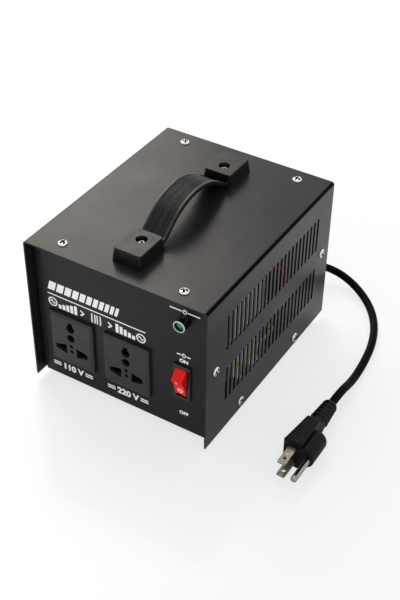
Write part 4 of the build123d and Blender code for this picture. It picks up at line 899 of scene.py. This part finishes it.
class CONVERTER_OT_front(bpy.types.Operator):
    """Outlets, switch and lamp: moulded frames, brass leaves, red rocker and green lens"""
    bl_idname = "converter.front"
    bl_label = "Front fittings"

    def execute(self, context):
        s = context.scene.converter_fittings
        urea = moulding("Moulded urea outlet frames", tuple(s.outlet), 0.48)
        coat(urea, "outlet_face_left", "outlet_face_right")
        coat(moulding("Moulded nylon outlet bodies", shade(tuple(s.outlet), 0.6), 0.6),
             "outlet_body_left", "outlet_body_right")
        coat(plated("Blackened screws", linear("#3a3a3a"), 0.45), "outlet_screws")
        coat(plated("Stamped brass", linear("#c49a4a"), 0.3), "outlet_contacts_left",
             "outlet_contacts_right", "lamp_pins", "switch_tabs", "fuse_holder_tabs",
             "selector_tabs")
        gloss = moulding("Gloss nylon housings", tuple(s.gloss), 0.22, 0.002, 0.000005)
        coat(gloss, "switch_frame", "lamp_housing", "fuse_holder", "fuse_holder_nut", "fuse_cap",
             "selector_body")
        coat(plated("Bright chrome rim", linear("#e4e4e2"), 0.14), "lamp_rim")
        coat(clear("Green acrylic lens", tuple(s.lens), 0.12, 1.49, 0.3), "lamp_lens")
        red, tree, shader, where = finish_material(
            "Translucent red polycarbonate", tuple(s.rocker), 0.24, IOR=1.5,
            Specular_IOR_Level=0.15, Subsurface_Weight=0.3,
            Subsurface_Radius=(0.004, 0.0005, 0.0003),
            Emission_Color=linear("#ff1408"), Emission_Strength=0.05)
        # Polished mould, so glossy; lit from inside it glows, unlit it is a clear deep red. Its
        # faint red emission is painted light, a glow the unlit rocker doesn't have.
        grain(tree, shader, where, 0.003, 0.000006)
        patchy(tree, shader, where, "Base Color", shade(tuple(s.rocker), 0.88),
               tuple(s.rocker), 0.004)
        coat(red, "switch_rocker", "selector_slider")
        self.rocker_marks(context)
        return {"FINISHED"}

    def rocker_marks(self, context):
        """White ring on the lower half of the rocker and short bar on the upper half."""
        ink = printed_ink(context)
        pivot = Vector((0.0515, -0.0845, 0.0529))
        tilt = Matrix.Rotation(math.radians(20), 3, "X")
        face, half, dish, clear_of = 5.6 * MM, 9.0 * MM, 0.8 * MM, 0.00004
        ring_x, ring_z, ring_radii = 0.0003, -0.0043, (0.0022, 0.0014)
        bar_left, bar_right, bar_low, bar_l = -0.0012, -0.0006, 0.0048, 0.003

        def on_face(x, z):
            depth = dish * (1 - (z / half) ** 2)
            return pivot + tilt @ Vector((x, -face + depth - clear_of, z))

        verts, faces = [], []
        for n in range(40):
            turn = 2 * math.pi * n / 40
            for r in ring_radii:
                verts.append(on_face(ring_x + r * math.cos(turn), ring_z + r * math.sin(turn)))
            m = (n + 1) % 40
            faces.append((2 * n, 2 * n + 1, 2 * m + 1, 2 * m))
        start = len(verts)
        for n in range(7):
            z = bar_low + bar_l * n / 6
            verts += [on_face(bar_left, z), on_face(bar_right, z)]
        faces += [(start + 2 * n, start + 2 * n + 1, start + 2 * n + 3, start + 2 * n + 2)
                  for n in range(6)]
        marks = mesh_piece("rocker_marks", verts, faces, ink, "rocker")
        ink_film(marks)


class CONVERTER_OT_print(bpy.types.Operator):
    """Screen-printed marks on the front panel"""
    bl_idname = "converter.print"
    bl_label = "Front print"

    def execute(self, context):
        polygons = []
        polygons += self.slanted_bars()
        polygons += ribbon([(-63.9, 83.6), (20.7, 83.6)], 0.9)
        polygons += self.symbol_row()
        for x, words in ((-46.1, "110 V"), (3.7, "220 V")):
            polygons += text_faces(words, 5.4, (x, 16.6), 1.05)
            for side in (-1, 1):
                for z in (15.6, 17.6):
                    polygons += ribbon([(x + side * 11.4, z), (x + side * 17.9, z)], 1.1)
        polygons += text_faces("ON", 2.9, (52.4, 72.3), 1.1)
        polygons += text_faces("OFF", 2.9, (52.4, 22.3), 1.05)
        for x, z, reach in ((52.3, 77.4, 5.4), (53.1, 116.8, 11.8)):
            polygons += self.power_sign((x, z), 1.5)
            for side in (-1, 1):
                polygons += ribbon([(x + side * 2.6, z), (x + side * reach, z)], 1.0)
        verts, faces, panel_y, clear_of = [], [], -0.084, 0.00005
        y = panel_y - clear_of
        for polygon in polygons:
            faces.append(tuple(range(len(verts), len(verts) + len(polygon))))
            verts += [(p[0] * MM, y, p[1] * MM) for p in polygon]
        ink = printed_ink(context)
        panel = mesh_piece("panel_print", verts, faces, ink, "root",
                           smooth=False)
        ink_film(panel)
        return {"FINISHED"}

    def slanted_bars(self):
        """A row of leaning blocks that get narrower to the right."""
        x, polygons = -63.7, []
        foot, head, lean, gap = 87.6, 95.4, 2.2, 1.35
        for n in range(11):
            width = 6.1 - 0.36 * n
            polygons.append([(x, foot), (x + width, foot), (x + width + lean, head),
                             (x + lean, head)])
            x += width + gap
        return polygons

    def symbol_row(self):
        """Signs of the kind on a circuit diagram: source, step up, coils, step down, load."""
        middle, foot, polygons = 76.8, 72.9, []
        for x in (-59.9, 16.9):
            polygons += ribbon(arc_points((x, middle), 3.5, 0, 360, 36), 1.1)
            wave = [(x - 2 + 4 * n / 16, middle + 1.2 * math.sin(2 * math.pi * n / 16))
                    for n in range(17)]
            polygons += ribbon(wave, 0.95)
        for n in range(5):
            height = 3.4 + 1.15 * n
            for x in (-53.6 + 3.5 * n, 10.6 - 3.5 * n):
                polygons.append([(x - 1.25, foot), (x + 1.25, foot), (x + 1.25, foot + height),
                                 (x - 1.25, foot + height)])
        for x in (-33.5, -9.3):
            polygons += ribbon([(x - 1.6, middle + 2.2), (x + 1.2, middle),
                                (x - 1.6, middle - 2.2)], 1.2)
        centre = -21.5
        for side in (-1, 1):
            polygons += ribbon([(centre + side * 1.0, foot), (centre + side * 1.0, 80.7)], 1.0)
            for n in range(4):
                z = 73.9 + 1.93 * n
                bump = arc_points((centre + side * 3.0, z), 0.97, -90 if side > 0 else 90,
                                  90 if side > 0 else 270, 10)
                polygons += ribbon(bump, 0.95)
        return polygons

    def power_sign(self, centre, radius):
        polygons = ribbon(arc_points(centre, radius, 125, 415, 28), 0.7)
        polygons += ribbon([(centre[0], centre[1] + 0.2 * radius),
                            (centre[0], centre[1] + 1.35 * radius)], 0.7)
        return polygons


class CONVERTER_OT_inside(bpy.types.Operator):
    """Transformer, wiring and fuse, as far as the slots and openings show them"""
    bl_idname = "converter.inside"
    bl_label = "Inside"

    def execute(self, context):
        stack = laminations("Stacked silicon steel", linear("#c2c6ca"))
        bracket = plated("Zinc-plated bracket", linear("#f0f2f4"), 0.45, 0.002)
        self.glow(stack, "#b9bdc4", 0.08)
        self.glow(bracket, "#dfe2e6", 0.16)
        coat(stack, "transformer_core")
        coat(bracket, "transformer_bracket")
        coat(winding_tape("Polyester winding tape", linear("#c9a227")), "coil_winding")
        nylon = moulding("Natural nylon", linear("#d9d4c2"), 0.5)
        coat(nylon, "coil_bobbin", "terminal_block", "thermal_cutout")
        for node, hex_colour in (("black", "#151515"), ("white", "#d8d8d2"), ("green", "#1c7a34"),
                                 ("red", "#e01c14"), ("yellow", "#ffcf12")):
            jacket = vinyl(f"Vinyl wire, {node}", linear(hex_colour), 0.4)
            self.glow(jacket, hex_colour, 0.2)
            coat(jacket, f"wires_{node}")
        coat(clear("Drawn glass tube", linear("#eef4f2"), 0.04, 1.5, 1.0), "fuse_glass")
        coat(plated("Nickel-plated fuse ends", linear("#d0cabb"), 0.25), "fuse_ferrules")
        return {"FINISHED"}

    def glow(self, material, hex_colour, strength):
        """Gives a piece behind the slots a slight light of its own, so that it shows there."""
        shader = material.node_tree.nodes["Principled BSDF"]
        shader.inputs["Emission Color"].default_value = linear(hex_colour)
        shader.inputs["Emission Strength"].default_value = strength


class CONVERTER_PT_panel(bpy.types.Panel):
    """Lists the converter's pieces"""
    bl_idname = "CONVERTER_PT_panel"
    bl_label = "Converter"
    bl_space_type = "VIEW_3D"
    bl_region_type = "UI"
    bl_category = "Converter"

    def draw(self, context):
        for operator in OPERATORS:
            self.layout.operator(operator.bl_idname)
        for name, group in SETTINGS.items():
            box = self.layout.box()
            settings = getattr(context.scene, name)
            for key in group.__annotations__:
                box.prop(settings, key)


OPERATORS = [CONVERTER_OT_camera, CONVERTER_OT_lead, CONVERTER_OT_stage, CONVERTER_OT_case,
             CONVERTER_OT_handle, CONVERTER_OT_front, CONVERTER_OT_print, CONVERTER_OT_inside]
SETTINGS = {
    "converter_stage": StageSettings,
    "converter_case": CaseSettings,
    "converter_strap": StrapSettings,
    "converter_lead": LeadSettings,
    "converter_fittings": FittingSettings,
}


def register():
    for cls in [*SETTINGS.values(), *OPERATORS, CONVERTER_PT_panel]:
        bpy.utils.register_class(cls)
    for name, group in SETTINGS.items():
        setattr(bpy.types.Scene, name, PointerProperty(type=group))


def unregister():
    for name in SETTINGS:
        delattr(bpy.types.Scene, name)
    for cls in [CONVERTER_PT_panel, *reversed(OPERATORS), *reversed(list(SETTINGS.values()))]:
        bpy.utils.unregister_class(cls)


def main():
    register()
    for operator in OPERATORS:
        group, name = operator.bl_idname.split(".")
        getattr(getattr(bpy.ops, group), name)()


if __name__ == "__main__":
    main()
